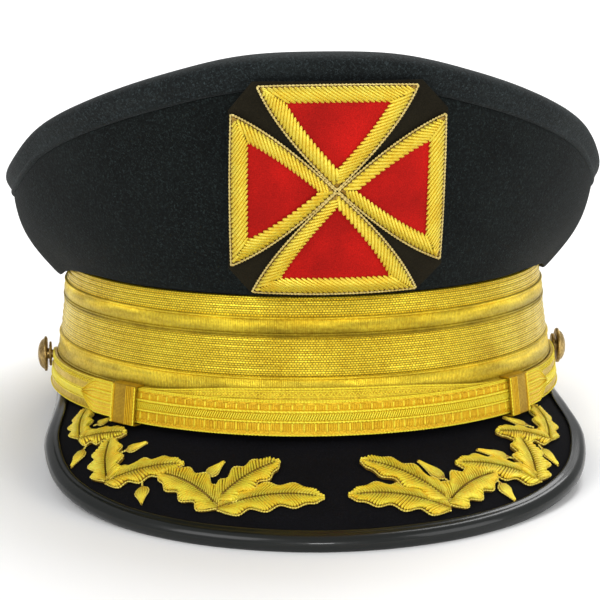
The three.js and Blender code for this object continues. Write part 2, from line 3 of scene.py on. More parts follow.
import bpy
import numpy as np
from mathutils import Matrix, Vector


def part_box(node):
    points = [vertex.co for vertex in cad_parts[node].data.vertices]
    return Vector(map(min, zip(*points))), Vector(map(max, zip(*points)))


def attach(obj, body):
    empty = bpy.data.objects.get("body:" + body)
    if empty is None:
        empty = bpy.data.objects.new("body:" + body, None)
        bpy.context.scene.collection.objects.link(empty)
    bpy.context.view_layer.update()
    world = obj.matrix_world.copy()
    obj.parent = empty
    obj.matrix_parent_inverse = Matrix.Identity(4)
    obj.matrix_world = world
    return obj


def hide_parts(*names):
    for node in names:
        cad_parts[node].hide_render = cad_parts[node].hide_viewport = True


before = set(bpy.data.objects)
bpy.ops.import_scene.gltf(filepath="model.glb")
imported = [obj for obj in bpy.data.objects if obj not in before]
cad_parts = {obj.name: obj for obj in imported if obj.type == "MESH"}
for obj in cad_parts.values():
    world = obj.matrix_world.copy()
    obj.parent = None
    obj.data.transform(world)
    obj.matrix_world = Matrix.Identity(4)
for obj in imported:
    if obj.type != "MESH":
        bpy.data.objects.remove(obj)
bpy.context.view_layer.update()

# Table and lights
# A pale table top under one large soft light from the upper left, one weaker from the right, a small
# one from the front and one from behind that picks out the rim of the crown.
bpy.ops.mesh.primitive_plane_add(size=9, location=(0, 1.5, 0))
table_top = bpy.context.object
table_top.name = "table_top"
table_paint = bpy.data.materials.new("table_paint")
table_paint.use_nodes = True
paint_shader = table_paint.node_tree.nodes["Principled BSDF"]
paint_shader.inputs["Base Color"].default_value = (0.93, 0.93, 0.93, 1)
paint_shader.inputs["Roughness"].default_value = 0.9
table_top.data.materials.append(table_paint)

studio_lights = [
    dict(name="key_light", place=(-1.3, -1.4, 1.6), size=1.3, power=18),
    dict(name="fill_light", place=(1.5, -1.1, 0.9), size=1.2, power=11),
    dict(name="rim_light", place=(0.4, 1.1, 1.8), size=1.2, power=34),
    dict(name="front_light", place=(0.0, -2.0, 0.55), size=0.3, power=6),
]
light_aim = Vector((0, 0, 0.07))
for light in studio_lights:
    bpy.ops.object.light_add(type="AREA", location=light["place"])
    lamp = bpy.context.object
    lamp.name = light["name"]
    lamp.data.size = light["size"]
    lamp.data.energy = light["power"]
    lamp.rotation_euler = (light_aim - lamp.location).to_track_quat("-Z", "Y").to_euler()
room = bpy.data.worlds.new("room")
bpy.context.scene.world = room
room.use_nodes = True
room_light = room.node_tree.nodes["Background"]
room_light.inputs["Color"].default_value = (1, 1, 1, 1)
room_light.inputs["Strength"].default_value = 0.56
bpy.context.scene.view_settings.view_transform = "Standard"

# Band
# The stiff black cloth band that the head goes into. It leans in towards its top, and its lower
# lip shows as a dark line under the lace.
mm = 0.001
head_half_width = 85.0
head_half_length = 101.0
frame_wall = 2.2
band_height = 45.0
band_lean = 5.4
fit_gap = 0.3
rest_flat = 0.4
visor_reach = 42.8
visor_drop = 28.0
band_half_length = head_half_length + frame_wall
rest_tilt = math.atan2(visor_drop, 2 * band_half_length + visor_reach)
cap_up = band_half_length * math.sin(rest_tilt) - rest_flat
cap_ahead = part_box("band_frame")[1].y / mm - band_half_length * math.cos(rest_tilt)


def on_band(turn, up, out):
    """Places round the band: turn from the front, height and distance out from the head opening."""
    grow = out - band_lean * up / band_height
    across = (head_half_width + grow) * np.sin(turn)
    along = -(head_half_length + grow) * np.cos(turn)
    return np.stack([across, along, up + 0 * turn], axis=-1)


def choose_only(piece):
    bpy.ops.object.select_all(action="DESELECT")
    piece.select_set(True)
    bpy.context.view_layer.objects.active = piece


def edit(piece):
    """Opens a piece's mesh with all of it selected."""
    choose_only(piece)
    bpy.ops.object.mode_set(mode="EDIT")
    bpy.ops.mesh.select_all(action="SELECT")


def end_edit():
    bpy.ops.object.mode_set(mode="OBJECT")


def read_points(mesh):
    points = np.zeros(len(mesh.vertices) * 3, np.float32)
    mesh.vertices.foreach_get("co", points)
    return points.reshape(-1, 3).astype(float)


def write_points(mesh, points, charted):
    """Moves a mesh's points, and lays its UV map out in millimetres of flat cloth."""
    mesh.vertices.foreach_set("co", points.astype(np.float32).ravel())
    corners = np.zeros(len(mesh.loops), np.int32)
    mesh.loops.foreach_get("vertex_index", corners)
    layer = mesh.uv_layers[0] if mesh.uv_layers else mesh.uv_layers.new(name="UVMap")
    layer.data.foreach_set("uv", np.asarray(charted, np.float32)[corners].ravel())
    mesh.update()


def cloth(name, across, rows, place, chart=None):
    """A sheet of cloth cut from a grid, a column for each value of across and a line of the grid
    for each of the rows, and moved to the places that a function gives for them."""
    columns = len(across) - 1
    lines = len(rows) - 1
    bpy.ops.object.select_all(action="DESELECT")
    bpy.ops.mesh.primitive_grid_add(x_subdivisions=columns, y_subdivisions=lines, size=1)
    piece = bpy.context.object
    piece.name = name
    flat = read_points(piece.data)
    across = np.asarray(across, float)[np.rint((flat[:, 0] + 0.5) * columns).astype(int)]
    rows = np.asarray(rows, float)[np.rint((flat[:, 1] + 0.5) * lines).astype(int)]
    charted = chart(across, rows) if chart else np.stack([across * head_half_width, rows[:, 0]], axis=-1)
    write_points(piece.data, place(across, rows), charted)
    return piece


def merge_ends(piece, fill=False, turn_out=True):
    """Joins a sheet's edges where they meet, fills the ends of a tube, and turns its faces out."""
    edit(piece)
    bpy.ops.mesh.remove_doubles(threshold=0.001)
    if fill:
        bpy.ops.mesh.select_all(action="DESELECT")
        bpy.ops.mesh.select_non_manifold(extend=False, use_wire=False, use_boundary=True,
                                         use_multi_face=False, use_non_contiguous=False, use_verts=False)
        bpy.ops.mesh.edge_face_add()
        bpy.ops.mesh.select_all(action="SELECT")
    if turn_out:
        bpy.ops.mesh.normals_make_consistent(inside=False)
    end_edit()


def finish_with(piece, kind, **settings):
    """Adds a modifier of a kind to a piece, gives it its settings, and applies it."""
    choose_only(piece)
    modifier = piece.modifiers.new(kind.lower(), kind)
    for key, value in settings.items():
        setattr(modifier, key, value)
    bpy.ops.object.modifier_apply(modifier=modifier.name)


def seat(piece, slot, finish, *nodes):
    """Tips a piece that was made on the level cap, in millimetres, onto the table as the cap rests."""
    choose_only(piece)
    piece.rotation_euler.x = -rest_tilt
    piece.scale = (mm, mm, mm)
    piece.location = (0, cap_ahead * mm, cap_up * mm)
    bpy.ops.object.transform_apply(location=True, rotation=True, scale=True)
    bpy.ops.object.shade_smooth_by_angle(angle=math.radians(50))
    piece.data.materials.clear()
    piece.data.materials.append(finish)
    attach(piece, "root")
    if nodes:
        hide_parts(*nodes)


def trim_to_table(piece):
    """Takes off what would sink into the table, and closes the cut."""
    edit(piece)
    bpy.ops.mesh.bisect(plane_co=(0, 0, 0), plane_no=(0, 0, 1), clear_inner=True, use_fill=True)
    end_edit()


def new_group(name, inputs, outputs):
    """An empty shader group with named sockets: the group, what comes in, and its output node."""
    group = bpy.data.node_groups.new(name, "ShaderNodeTree")
    for title, kind in inputs:
        group.interface.new_socket(title, in_out="INPUT", socket_type="NodeSocket" + kind)
    for title, kind in outputs:
        group.interface.new_socket(title, in_out="OUTPUT", socket_type="NodeSocket" + kind)
    return group, group.nodes.new("NodeGroupInput").outputs, group.nodes.new("NodeGroupOutput")


def node(tree, kind, links, out=0, **settings):
    """One output, or all if out is None, of a new shader node with its inputs linked or given."""
    made = tree.nodes.new("ShaderNode" + kind)
    for key, value in settings.items():
        setattr(made, key, value)
    for title, value in links.items():
        socket = made.inputs[title]
        if isinstance(value, bpy.types.NodeSocket):
            tree.links.new(value, socket)
        else:
            socket.default_value = value
    return made.outputs if out is None else made.outputs[out]


def maths(tree, operation, first, second):
    return node(tree, "Math", {0: first, 1: second}, operation=operation)


def remap(tree, value, to_min, to_max, from_min=0.0, from_max=1.0):
    return node(tree, "MapRange", {"Value": value, "From Min": from_min, "From Max": from_max,
                                   "To Min": to_min, "To Max": to_max})


def noise(tree, place, scale, detail, roughness=0.5, distortion=0.0):
    return node(tree, "TexNoise", {"Vector": place, "Scale": scale, "Detail": detail, "Roughness": roughness,
                                   "Distortion": distortion})


def stretch(tree, place, *by):
    return node(tree, "VectorMath", {0: place, 1: by}, operation="MULTIPLY")


def darken(tree, color, by):
    return node(tree, "VectorMath", {0: color, "Scale": by}, operation="SCALE")


def blend(tree, share, low, high):
    return node(tree, "Mix", {0: share, 6: low, 7: high}, 2, data_type="RGBA")


def bump(tree, height, strength, depth):
    return node(tree, "Bump", {"Height": height, "Strength": strength, "Distance": depth * mm})


def feed(tree, target, **sources):
    """Links outputs to a node's inputs of the same names."""
    for title, source in sources.items():
        tree.links.new(source, target.inputs[title.replace("_", " ")])


def new_finish(name, **constants):
    """A new material, its node tree and its shader, with the shader's constant sockets set."""
    finish = bpy.data.materials.new(name)
    finish.use_nodes = True
    shader = finish.node_tree.nodes["Principled BSDF"]
    for title, value in constants.items():
        shader.inputs[title.replace("_", " ")].default_value = value
    return finish, finish.node_tree, shader


# Nap is the fuzz of a woollen or pile cloth: a fine bump, soft blotches, and a few pale fibres
nap, nap_in, nap_out = new_group(
    "nap",
    [("Place", "Vector"), ("Grain per mm", "Float"), ("Cloth", "Color"), ("Fibre", "Color"),
     ("Fibres", "Float")],
    [("Color", "Color"), ("Height", "Float"), ("Roughness", "Float")],
)
nap_mm = stretch(nap, nap_in["Place"], 1 / mm, 1 / mm, 1 / mm)
grain = noise(nap, nap_mm, nap_in["Grain per mm"], 4.0, 0.7)
blotch = noise(nap, nap_mm, 0.05, 3.0)
fibre = remap(nap, noise(nap, nap_mm, nap_in["Grain per mm"], 2.0, 0.9, 1.2), 0, 1, 0.53, 0.7)
nap_shade = maths(nap, "MULTIPLY", remap(nap, blotch, 0.75, 1.3, 0.3, 0.7),
                  remap(nap, grain, 0.6, 1.4, 0.3, 0.7))
nap_color = blend(nap, maths(nap, "MULTIPLY", fibre, nap_in["Fibres"]),
                  darken(nap, nap_in["Cloth"], nap_shade), nap_in["Fibre"])
feed(nap, nap_out, Color=nap_color, Height=grain, Roughness=remap(nap, grain, 0.95, 0.8))


def napped(name, cloth_color, fibre_color, grain_per_mm, fibres, depth, **constants):
    """A matt cloth finish with a nap."""
    finish, tree, shader = new_finish(name, **constants)
    fuzz = node(tree, "Group", {
        "Place": node(tree, "TexCoord", {}, "Object"), "Grain per mm": grain_per_mm,
        "Cloth": (*cloth_color, 1), "Fibre": (*fibre_color, 1), "Fibres": fibres}, None, node_tree=nap)
    feed(tree, shader, Base_Color=fuzz["Color"], Roughness=fuzz["Roughness"],
         Normal=bump(tree, fuzz["Height"], 0.6, depth))
    return finish


band_cloth = napped("band_cloth", (0.012, 0.013, 0.015), (0.06, 0.06, 0.06), 2.5, 0.3, 0.1,
                    Specular_IOR_Level=0.2)
band_turns = np.linspace(-math.pi, math.pi, 289)
edge_round = 0.4
band_rows = [
    (edge_round, frame_wall), (band_height - edge_round, frame_wall), (band_height, frame_wall - edge_round),
    (band_height, edge_round), (band_height - edge_round, 0), (edge_round, 0), (0, edge_round),
    (0, frame_wall - edge_round), (edge_round, frame_wall),
]
band = cloth("band", band_turns, band_rows, lambda turn, row: on_band(turn, row[:, 0], row[:, 1]))
merge_ends(band)
seat(band, "band_cloth", band_cloth, "band_frame")
trim_to_table(band)

# Lace
# The wide gilt lace sewn round the band: three stripes of open mesh weave between two satin
# stripes, each stripe edged by a raised cord. Woven from gilt wire on a yellow silk ground.
lace_wall = 1.8
lace_front = frame_wall + fit_gap + lace_wall
cord_rise = 0.9
satin_rise = 0.5
lace_foot = 1.8
lace_head = 43.8
lace_middle = 25.0
satin_low = (12.0, 17.6)
satin_high = (32.3, 36.6)
ridge_rise = 0.32


def ridges(low, high, count):
    """Rows of the lace over a stripe of mesh weave that lies in soft ridges."""
    return [(low + (high - low) * k / (4 * count), ridge_rise * math.sin(math.pi * k / 4) ** 2)
            for k in range(4 * count + 1)]


def cord_line(up, rise=cord_rise, half=0.42):
    """Rows of the lace over one raised cord."""
    return [(up + half * math.sin(a), rise * (0.35 + 0.65 * math.cos(a)))
            for a in np.linspace(-1.45, 1.45, 6)]


def satin_rows(stripe, inset, fullness):
    """Rows of the lace over one satin stripe, fuller in its middle."""
    return [(stripe[0] + inset, satin_rise), (sum(stripe) / 2, satin_rise * fullness),
            (stripe[1] - 0.1, satin_rise)]


lace_rows = ridges(lace_foot, satin_low[0] - 1.0, 3)
lace_rows += cord_line(satin_low[0] - 0.45)
lace_rows += satin_rows(satin_low, 0.2, 1.1)
lace_rows += cord_line(satin_low[1] + 0.4)
lace_rows += ridges(satin_low[1] + 1.1, satin_high[0] - 1.75, 5)
lace_rows += cord_line(satin_high[0] - 1.25, 0.6, 0.3)
lace_rows += cord_line(satin_high[0] - 0.4, 0.75, 0.35)
lace_rows += satin_rows(satin_high, 0.15, 1.5)
lace_rows += cord_line(satin_high[1] + 0.4)
lace_rows += ridges(satin_high[1] + 1.1, lace_head - 0.9, 3)
lace_rows += cord_line(lace_head - 0.45, 0.5, 0.4)
lace_rows += [(lace_head, -lace_wall), (lace_foot, -lace_wall), (lace_foot, 0.0)]

# Gilt is gold that has been worn and dulled: it moves between a bright and a deep tone
gilt, gilt_in, gilt_out = new_group(
    "gilt",
    [("Place", "Vector"), ("Bright", "Color"), ("Deep", "Color"), ("Patches per mm", "Float")],
    [("Color", "Color"), ("Roughness", "Float"), ("Spread", "Float")],
)
gilt_mm = stretch(gilt, gilt_in["Place"], 1 / mm, 1 / mm, 1 / mm)
patches = noise(gilt, gilt_mm, gilt_in["Patches per mm"], 3.0, 0.6)
wear = remap(gilt, maths(gilt, "ADD", patches, noise(gilt, gilt_mm, 1.1, 2.0, 0.6)), 0, 1, 0.72, 1.25)
feed(gilt, gilt_out, Color=blend(gilt, wear, gilt_in["Deep"], gilt_in["Bright"]),
     Roughness=remap(gilt, wear, 0.55, 0.32), Spread=wear)


def place_gilt(tree, bright, deep, patches_per_mm=0.05):
    """The gilt group's outputs in a material, with that material's own tones."""
    return node(tree, "Group", {
        "Place": node(tree, "TexCoord", {}, "Object"), "Bright": (*bright, 1), "Deep": (*deep, 1),
        "Patches per mm": patches_per_mm}, None, node_tree=gilt)


lace_gilt, lace_tree, lace_shader = new_finish("lace_gilt", Metallic=0.7)
lace_tone = place_gilt(lace_tree, (1.0, 0.76, 0.042), (0.68, 0.45, 0.012))
lace_chart = node(lace_tree, "UVMap", {}, uv_map="UVMap")
lace_up = node(lace_tree, "SeparateXYZ", {0: lace_chart}, "Y")


def stripe(low, high):
    """One within a stripe of the lace, and nothing outside it."""
    return maths(lace_tree, "MULTIPLY", maths(lace_tree, "GREATER_THAN", lace_up, low),
                 maths(lace_tree, "LESS_THAN", lace_up, high))


satin = maths(lace_tree, "ADD", stripe(satin_low[0] - 0.9, satin_low[1] + 0.8),
              stripe(satin_high[0] - 1.7, satin_high[1] + 0.8))
mesh_weave = node(lace_tree, "TexBrick", {
    "Vector": lace_chart, "Color1": (1, 1, 1, 1), "Color2": (0.8, 0.8, 0.8, 1),
    "Mortar": (0.12, 0.12, 0.12, 1), "Scale": 1.0, "Mortar Size": 0.15, "Mortar Smooth": 0.6, "Bias": 0.0,
    "Brick Width": 1.0, "Row Height": 0.72}, "Color", offset=0.5, offset_frequency=2)
satin_threads = node(lace_tree, "TexWave", {
    "Vector": lace_chart, "Scale": 0.55, "Distortion": 0.6, "Detail": 1.0}, "Color", wave_type="BANDS",
    bands_direction="X")
weave = blend(lace_tree, satin, mesh_weave, satin_threads)
satin_patch = remap(lace_tree, noise(lace_tree, stretch(lace_tree, lace_chart, 0.05, 0.35, 1), 1.0, 2.0),
                    0.58, 1.12, 0.3, 0.7)
# Painted sheen: each satin stripe's colour runs from darker at its foot to brighter at its top.
painted_satin_sheen = node(lace_tree, "Mix", {
    0: maths(lace_tree, "GREATER_THAN", lace_up, lace_middle),
    2: remap(lace_tree, lace_up, 0.6, 1.1, *satin_low),
    3: remap(lace_tree, lace_up, 0.58, 1.12, *satin_high)})
lace_shade = node(lace_tree, "Mix", {0: satin, 2: remap(lace_tree, mesh_weave, 0.22, 1.12),
                                     3: maths(lace_tree, "MULTIPLY", satin_patch, painted_satin_sheen)})
feed(lace_tree, lace_shader, Base_Color=darken(lace_tree, lace_tone["Color"], lace_shade),
     Roughness=lace_tone["Roughness"], Normal=bump(lace_tree, weave, 0.7, 0.25))

lace = cloth("lace", band_turns, lace_rows,
             lambda turn, row: on_band(turn, row[:, 0], lace_front + row[:, 1]))
merge_ends(lace)
seat(lace, "lace_gold", lace_gilt, "band_lace")

# Crown
# The black wool crown in two panels of one cloth. The lower one flares from a soft roll over the lace up to
# the seam;
# the upper one rolls over the seam and closes the top, its colour painted lighter as painted light on the
# roll from above.
cloth_wall = 1.8
crown_rise = 66.0
seam_half_width = 103.0
seam_front = 117.0
seam_back = 118.0
crown_overhang = 5.2
hem_drop = 8.0
side_bulge = 3.2
roll_rise = 11.0
tip_dome = 3.0
crown_rows = dict(
    turn=[0, 15, 30, 45, 60, 75, 90, 110, 135, 180],
    rise=[1.0, 0.98, 0.89, 0.77, 0.625, 0.43, 0.31, 0.25, 0.23, 0.23],
    hang=[0.15, 0.12, 0.1, 0.1, 0.1, 0.35, 1.0, 0.9, 0.6, 0.5],
)


def smooth(rows, key, column, at):
    """Smooth reading of a table between its rows, level at both ends."""
    keys = np.array(rows[key], float)
    values = np.array(rows[column], float)
    slopes = np.zeros(len(keys))
    slopes[1:-1] = (values[2:] - values[:-2]) / (keys[2:] - keys[:-2])
    i = np.clip(np.searchsorted(keys, at, side="right") - 1, 0, len(keys) - 2)
    span = keys[i + 1] - keys[i]
    s = np.clip((at - keys[i]) / span, 0, 1)
    rise = s * s * (3 - 2 * s)
    bend = slopes[i] * span * s * (1 - s) ** 2 - slopes[i + 1] * span * s * s * (1 - s)
    return values[i] + (values[i + 1] - values[i]) * rise + bend


def from_front(turn):
    return np.degrees(np.abs(np.arctan2(np.sin(turn), np.cos(turn))))


def hang(turn):
    return smooth(crown_rows, "turn", "hang", from_front(turn))


def hem_up(turn):
    return band_height - hem_drop * hang(turn)


def seam_up(turn):
    return band_height + crown_rise * smooth(crown_rows, "turn", "rise", from_front(turn))


def on_oval(turn, half, front, back, up):
    along = np.where(np.cos(turn) > 0, front, back)
    return np.stack([half * np.sin(turn), -along * np.cos(turn), up + 0 * turn], axis=-1)


def crown_ring(turn, share, out):
    """Half width, reach to the front and to the back, and height of a ring of the lower panel: share
    0 at the hem, 1 at the seam, and a distance out from it."""
    grow = lace_front + crown_overhang * (0.3 + 0.7 * hang(turn)) - band_lean
    bulge = side_bulge * (0.25 + 0.75 * np.sin(turn) ** 2) * np.sin(math.pi * share)
    flare = lambda head, seam: (head + grow) * (1 - share) + seam * share + bulge + out
    up = (hem_up(turn) + cloth_wall) * (1 - share) + seam_up(turn) * share
    return (flare(head_half_width, seam_half_width), flare(head_half_length, seam_front),
            flare(head_half_length, seam_back), up)


def lower_panel(turn, row):
    """The lower panel from its hidden inner edge, round the hem, to the seam."""
    part = row[:, 0]
    edge = hem_up(turn)
    cover = lace_front + 0.8 * hang(turn) + 2 * fit_gap
    inner = on_band(turn, band_height + fit_gap, cover)
    slack = on_band(turn, edge, cover)
    slack[:, 2] = edge + cloth_wall / 2
    hem = on_band(turn, edge, cover + cloth_wall / 2)
    wall = on_oval(turn, *crown_ring(turn, np.clip(part, 0, 1), 0.0))
    pick = lambda low: np.clip(part - low, 0, 1)[:, None]
    inside = inner * (1 - pick(-3)) + slack * pick(-3)
    under = inside * (1 - pick(-2)) + hem * pick(-2)
    return under * (1 - pick(-1)) + wall * pick(-1)


# One wool in two colours: the roll's colour is painted lighter than the wall's, as painted light on the top
# of the crown.
wool = napped("wool", (0.0036, 0.0049, 0.0046), (0.024, 0.035, 0.035), 1.35, 0.8, 0.28,
              Sheen_Weight=0.02, Sheen_Roughness=0.5, Specular_IOR_Level=0.1)
painted_lit_roll_wool = napped("painted_lit_roll_wool", (0.0085, 0.0108, 0.0108), (0.045, 0.062, 0.066), 1.35, 0.8, 0.28,
                   Sheen_Weight=0.05, Sheen_Roughness=0.5, Specular_IOR_Level=0.1)
panel_shares = [(v,) for v in [-3, -2, -1, 0, 0.04, 0.1, 0.18, 0.28, 0.4, 0.52, 0.64, 0.76, 0.86, 0.94, 1.0]]

# Upper panel: the roll above the seam, out and up as shares of the roll's rise
roll_rows = [
    (-0.16, -0.03), (-0.05, -0.02), (0.02, 0.015), (0.07, 0.06), (0.085, 0.11), (0.06, 0.16), (0.065, 0.21),
    (0.12, 0.29), (0.19, 0.4), (0.24, 0.53), (0.235, 0.66), (0.18, 0.78), (0.06, 0.875), (-0.12, 0.94),
    (-0.4, 0.98), (-0.75, 1.0),
]
tip_waves = []
wave_turns = np.linspace(0, 2 * math.pi, 89)[:-1]
for wave in range(9):
    part = np.mean(seam_up(wave_turns) * np.cos(wave * wave_turns))
    tip_waves.append(part * (1 if wave == 0 else 2))


def tip_up(turn, share):
    """Height of the flat top at a share of the way from its middle to its rim."""
    level = sum(size * share ** wave * np.cos(wave * turn) for wave, size in enumerate(tip_waves))
    return level + tip_dome * (1 - share * share)


def upper_panel(turn, row):
    """The upper panel: its roll where the row's last part is 1, and the flat top inside it."""
    out, up, share = (row[:, 0] * roll_rise, row[:, 1] * roll_rise, row[:, 2])
    left = seam_up(turn) - tip_up(turn, 1)
    level = np.where(share < 1, tip_up(turn, share) + left * share ** 8, seam_up(turn)) + up
    return on_oval(turn, (seam_half_width + out) * share, (seam_front + out) * share,
                   (seam_back + out) * share, level)


upper_rows = [(*row, 1.0) for row in roll_rows]
upper_rows += [(roll_rows[-1][0], 1.0, share) for share in np.linspace(1, 0, 15)[1:]]
crown_turns = np.linspace(-math.pi, math.pi, 145)
crown_panels = [
    dict(name="lower_panel", rows=panel_shares, place=lower_panel, finish=wool, node="crown_side"),
    dict(name="upper_panel", rows=upper_rows, place=upper_panel, finish=painted_lit_roll_wool, node="crown_top"),
]
for panel in crown_panels:
    piece = cloth(panel["name"], crown_turns, panel["rows"], panel["place"])
    merge_ends(piece)
    finish_with(piece, "SOLIDIFY", thickness=cloth_wall, offset=-1.0)
    finish_with(piece, "SUBSURF", levels=1, render_levels=1)
    seat(piece, "crown_wool", panel["finish"], panel["node"])

# Visor
# The stiff sloping visor, covered with black pile velvet, its root under the front of the band.
visor_wall = 2.6
visor_camber = 1.5
visor_turn = 72
binding_radius = 3.0
binding_turn = 88
visor_rows = dict(
    bearing=[0, 10, 20, 30, 40, 50, 60, 70, 80, 90],
    reach=[1.0, 0.99, 0.96, 0.9, 0.79, 0.56, 0.28, 0.122, 0.061, 0.035],
    drop=[1.0, 0.985, 0.95, 0.87, 0.71, 0.48, 0.31, 0.25, 0.24, 0.24],
)


def polar(bearing, half, length):
    return 1 / np.hypot(np.sin(bearing) / half, np.cos(bearing) / length)


def visor_root(bearing):
    return polar(bearing, head_half_width + fit_gap, head_half_length + fit_gap)


def visor_rim(bearing):
    reach = visor_reach * smooth(visor_rows, "bearing", "reach", np.degrees(np.abs(bearing)))
    return polar(bearing, head_half_width + frame_wall, band_half_length) + reach - binding_radius


def visor_middle(bearing, share):
    """Places on the visor's middle surface: share 0 under the band, 1 at the binding's centre."""
    root = visor_root(bearing)
    rim = visor_rim(bearing)
    drop = visor_drop * smooth(visor_rows, "bearing", "drop", np.degrees(np.abs(bearing))) - binding_radius
    radius = root * (1 - share) + rim * share
    camber = visor_camber * np.sin(math.pi * share) * (rim - root) / visor_reach
    up = (-fit_gap - visor_wall / 2) * (1 - share) - drop * share + camber
    return np.stack([radius * np.sin(bearing), -radius * np.cos(bearing), up], axis=-1)


def unit(vectors):
    return vectors / np.linalg.norm(vectors, axis=-1, keepdims=True)


def visor_square(bearing, share):
    """The direction square to the visor's upper face."""
    step = 0.001
    round_it = visor_middle(bearing + step, share) - visor_middle(bearing - step, share)
    outwards = visor_middle(bearing, share + step) - visor_middle(bearing, share - step)
    return unit(np.cross(outwards, round_it))


def on_visor(bearing, share, lift):
    return visor_middle(bearing, share) + visor_square(bearing, share) * np.asarray(lift)[..., None]


velvet = napped("velvet", (0.0035, 0.0035, 0.0045), (0.02, 0.02, 0.03), 2.2, 0.25, 0.12,
                Sheen_Weight=0.02, Sheen_Roughness=0.3, Specular_IOR_Level=0.08)
visor_shares = [(v,) for v in np.linspace(0, 1, 13)]
visor_bearings = np.radians(np.linspace(visor_turn, -visor_turn, 121))
visor = cloth("visor_velvet", visor_bearings, visor_shares,
              lambda bearing, row: on_visor(bearing, row[:, 0], visor_wall / 2 + 0 * bearing))
finish_with(visor, "SOLIDIFY", thickness=visor_wall, offset=-1.0)
seat(visor, "visor_velvet", velvet, "visor")

# Binding
# The rolled edge of glossy patent leather that grips the visor's rim, with a fine welt where its
# folded edge is sewn down on the velvet.
slot_half = visor_wall / 2 + fit_gap
lip = binding_radius * 0.85
binding_skin = [(binding_radius * math.cos(a), binding_radius * math.sin(a))
                for a in np.radians(np.linspace(112, -112, 19))]
binding_rows = [(-lip, slot_half), (-lip - 0.45, slot_half + 0.25), (-lip - 0.5, slot_half + 0.7),
                (-lip - 0.1, slot_half + 1.0), (-lip * 0.75, slot_half + 0.95), *binding_skin,
                (-lip * 0.75, -slot_half - 0.8), (-lip, -slot_half - 0.6), (-lip, -slot_half),
                (binding_radius * 0.3, -slot_half), (binding_radius * 0.54, 0),
                (binding_radius * 0.3, slot_half), (-lip, slot_half)]


def round_visor(bearing, row):
    """Places round the visor's rim: out from its centre line and up, square to it."""
    step = 0.001
    rim = 1 + 0 * bearing
    run = unit(visor_middle(bearing + step, rim) - visor_middle(bearing - step, rim))
    up = visor_square(bearing, rim)
    return visor_middle(bearing, rim) + unit(np.cross(run, up)) * row[:, :1] + up * row[:, 1:2]


patent, patent_tree, patent_shader = new_finish("patent", Coat_Weight=0.25, Coat_Roughness=0.05,
                                                Roughness=0.3, Specular_IOR_Level=0.25)
patent_place = node(patent_tree, "TexCoord", {}, "Object")
wrinkles = noise(patent_tree, patent_place, 70.0, 3.0)
pores = node(patent_tree, "TexVoronoi", {"Vector": patent_place, "Scale": 900.0}, "Distance")
patent_height = node(patent_tree, "Math", {0: pores, 1: 0.08, 2: wrinkles}, operation="MULTIPLY_ADD")
feed(patent_tree, patent_shader,
     Base_Color=blend(patent_tree, wrinkles, (0.003, 0.004, 0.0035, 1), (0.008, 0.010, 0.009, 1)),
     Normal=bump(patent_tree, patent_height, 0.35, 0.5))
binding_bearings = np.radians(np.linspace(-binding_turn, binding_turn, 221))
binding = cloth("binding_roll", binding_bearings, binding_rows, round_visor)
merge_ends(binding, fill=True)
seat(binding, "binding_patent", patent, "visor_binding")
trim_to_table(binding)

# Chin strap
# The gilt strap over the lower part of the lace, in two layers: the under layer runs from button to
# button, the over layer ends in two pointed tongues. Ribs, twisted cords and a bent wire cover both.
strap_foot = 0.3
over_width = 11.4
under_width = 15.2
under_wall = 1.0
over_wall = 1.2
tongue_turn = math.radians(60)
tongue_length = 9.0
keeper_turn = math.radians(45)
keeper_length = 11.3
keeper_back = 0.5
keeper_front = 1.0
keeper_rim = 1.1
button_radius = 6.35
strap_aside = 3.0
under_tops = dict(turn=[0, 20, 38, 60, 100], top=[1.0, 0.95, 0.77, 0.72, 0.7])
strap_out = lace_front + 2 * fit_gap + keeper_back
over_out = strap_out + under_wall + fit_gap
fine_turns = np.linspace(0, math.pi, 721)
fine_run = on_band(fine_turns, 0, strap_out)
fine_lengths = np.concatenate([[0], np.cumsum(np.linalg.norm(np.diff(fine_run, axis=0), axis=1))])


def length_at(turn):
    return float(np.interp(turn, fine_turns, fine_lengths))


def turn_at(length):
    """The turn at a distance along the strap from the middle of the front."""
    return np.sign(length) * np.interp(np.abs(length), fine_lengths, fine_turns)


tongue_tip = length_at(tongue_turn)
keeper_middle = length_at(keeper_turn)
under_side = length_at(math.pi / 2)
under_tip = under_side + button_radius


def on_keeper(flat):
    """Places on the over layer's run, which sits a little to the picture's right: along it, up, and
    out from the head opening."""
    return on_band(turn_at(flat[..., 0] + strap_aside), flat[..., 1], flat[..., 2])


def on_over(flat):
    """Places on the over layer: along the strap, up from its foot, and a lift from its face."""
    past = np.clip((np.abs(flat[..., 0]) - tongue_tip + tongue_length) / tongue_length, 0, 1)
    up = over_width / 2 + (flat[..., 1] - over_width / 2) * (1 - 0.9 * past ** 1.25)
    return on_keeper(np.stack([flat[..., 0], strap_foot + up, over_out + over_wall + flat[..., 2]], axis=-1))


def under_top(turn):
    return smooth(under_tops, "turn", "top", from_front(turn))


def on_under(flat):
    """Places on the under layer, which gets narrower to the sides and is round at its two ends."""
    turn = turn_at(flat[..., 0])
    past = np.clip((np.abs(flat[..., 0]) - under_side) / button_radius, 0, 1)
    middle = under_width / 2
    up = (middle + (flat[..., 1] - middle) * np.sqrt(1 - (0.97 * past) ** 2)) * under_top(turn)
    return on_band(turn, strap_foot + up, strap_out + under_wall + flat[..., 2])


def take_form(piece):
    """Reads a small form's points and faces, made one long and centred, and takes its object away."""
    points = read_points(piece.data)
    points[:, 0] = (points[:, 0] - points[:, 0].min()) / np.ptp(points[:, 0]) - 0.5
    faces = [list(face.vertices) for face in piece.data.polygons]
    bpy.data.objects.remove(piece)
    return dict(points=points, faces=faces)


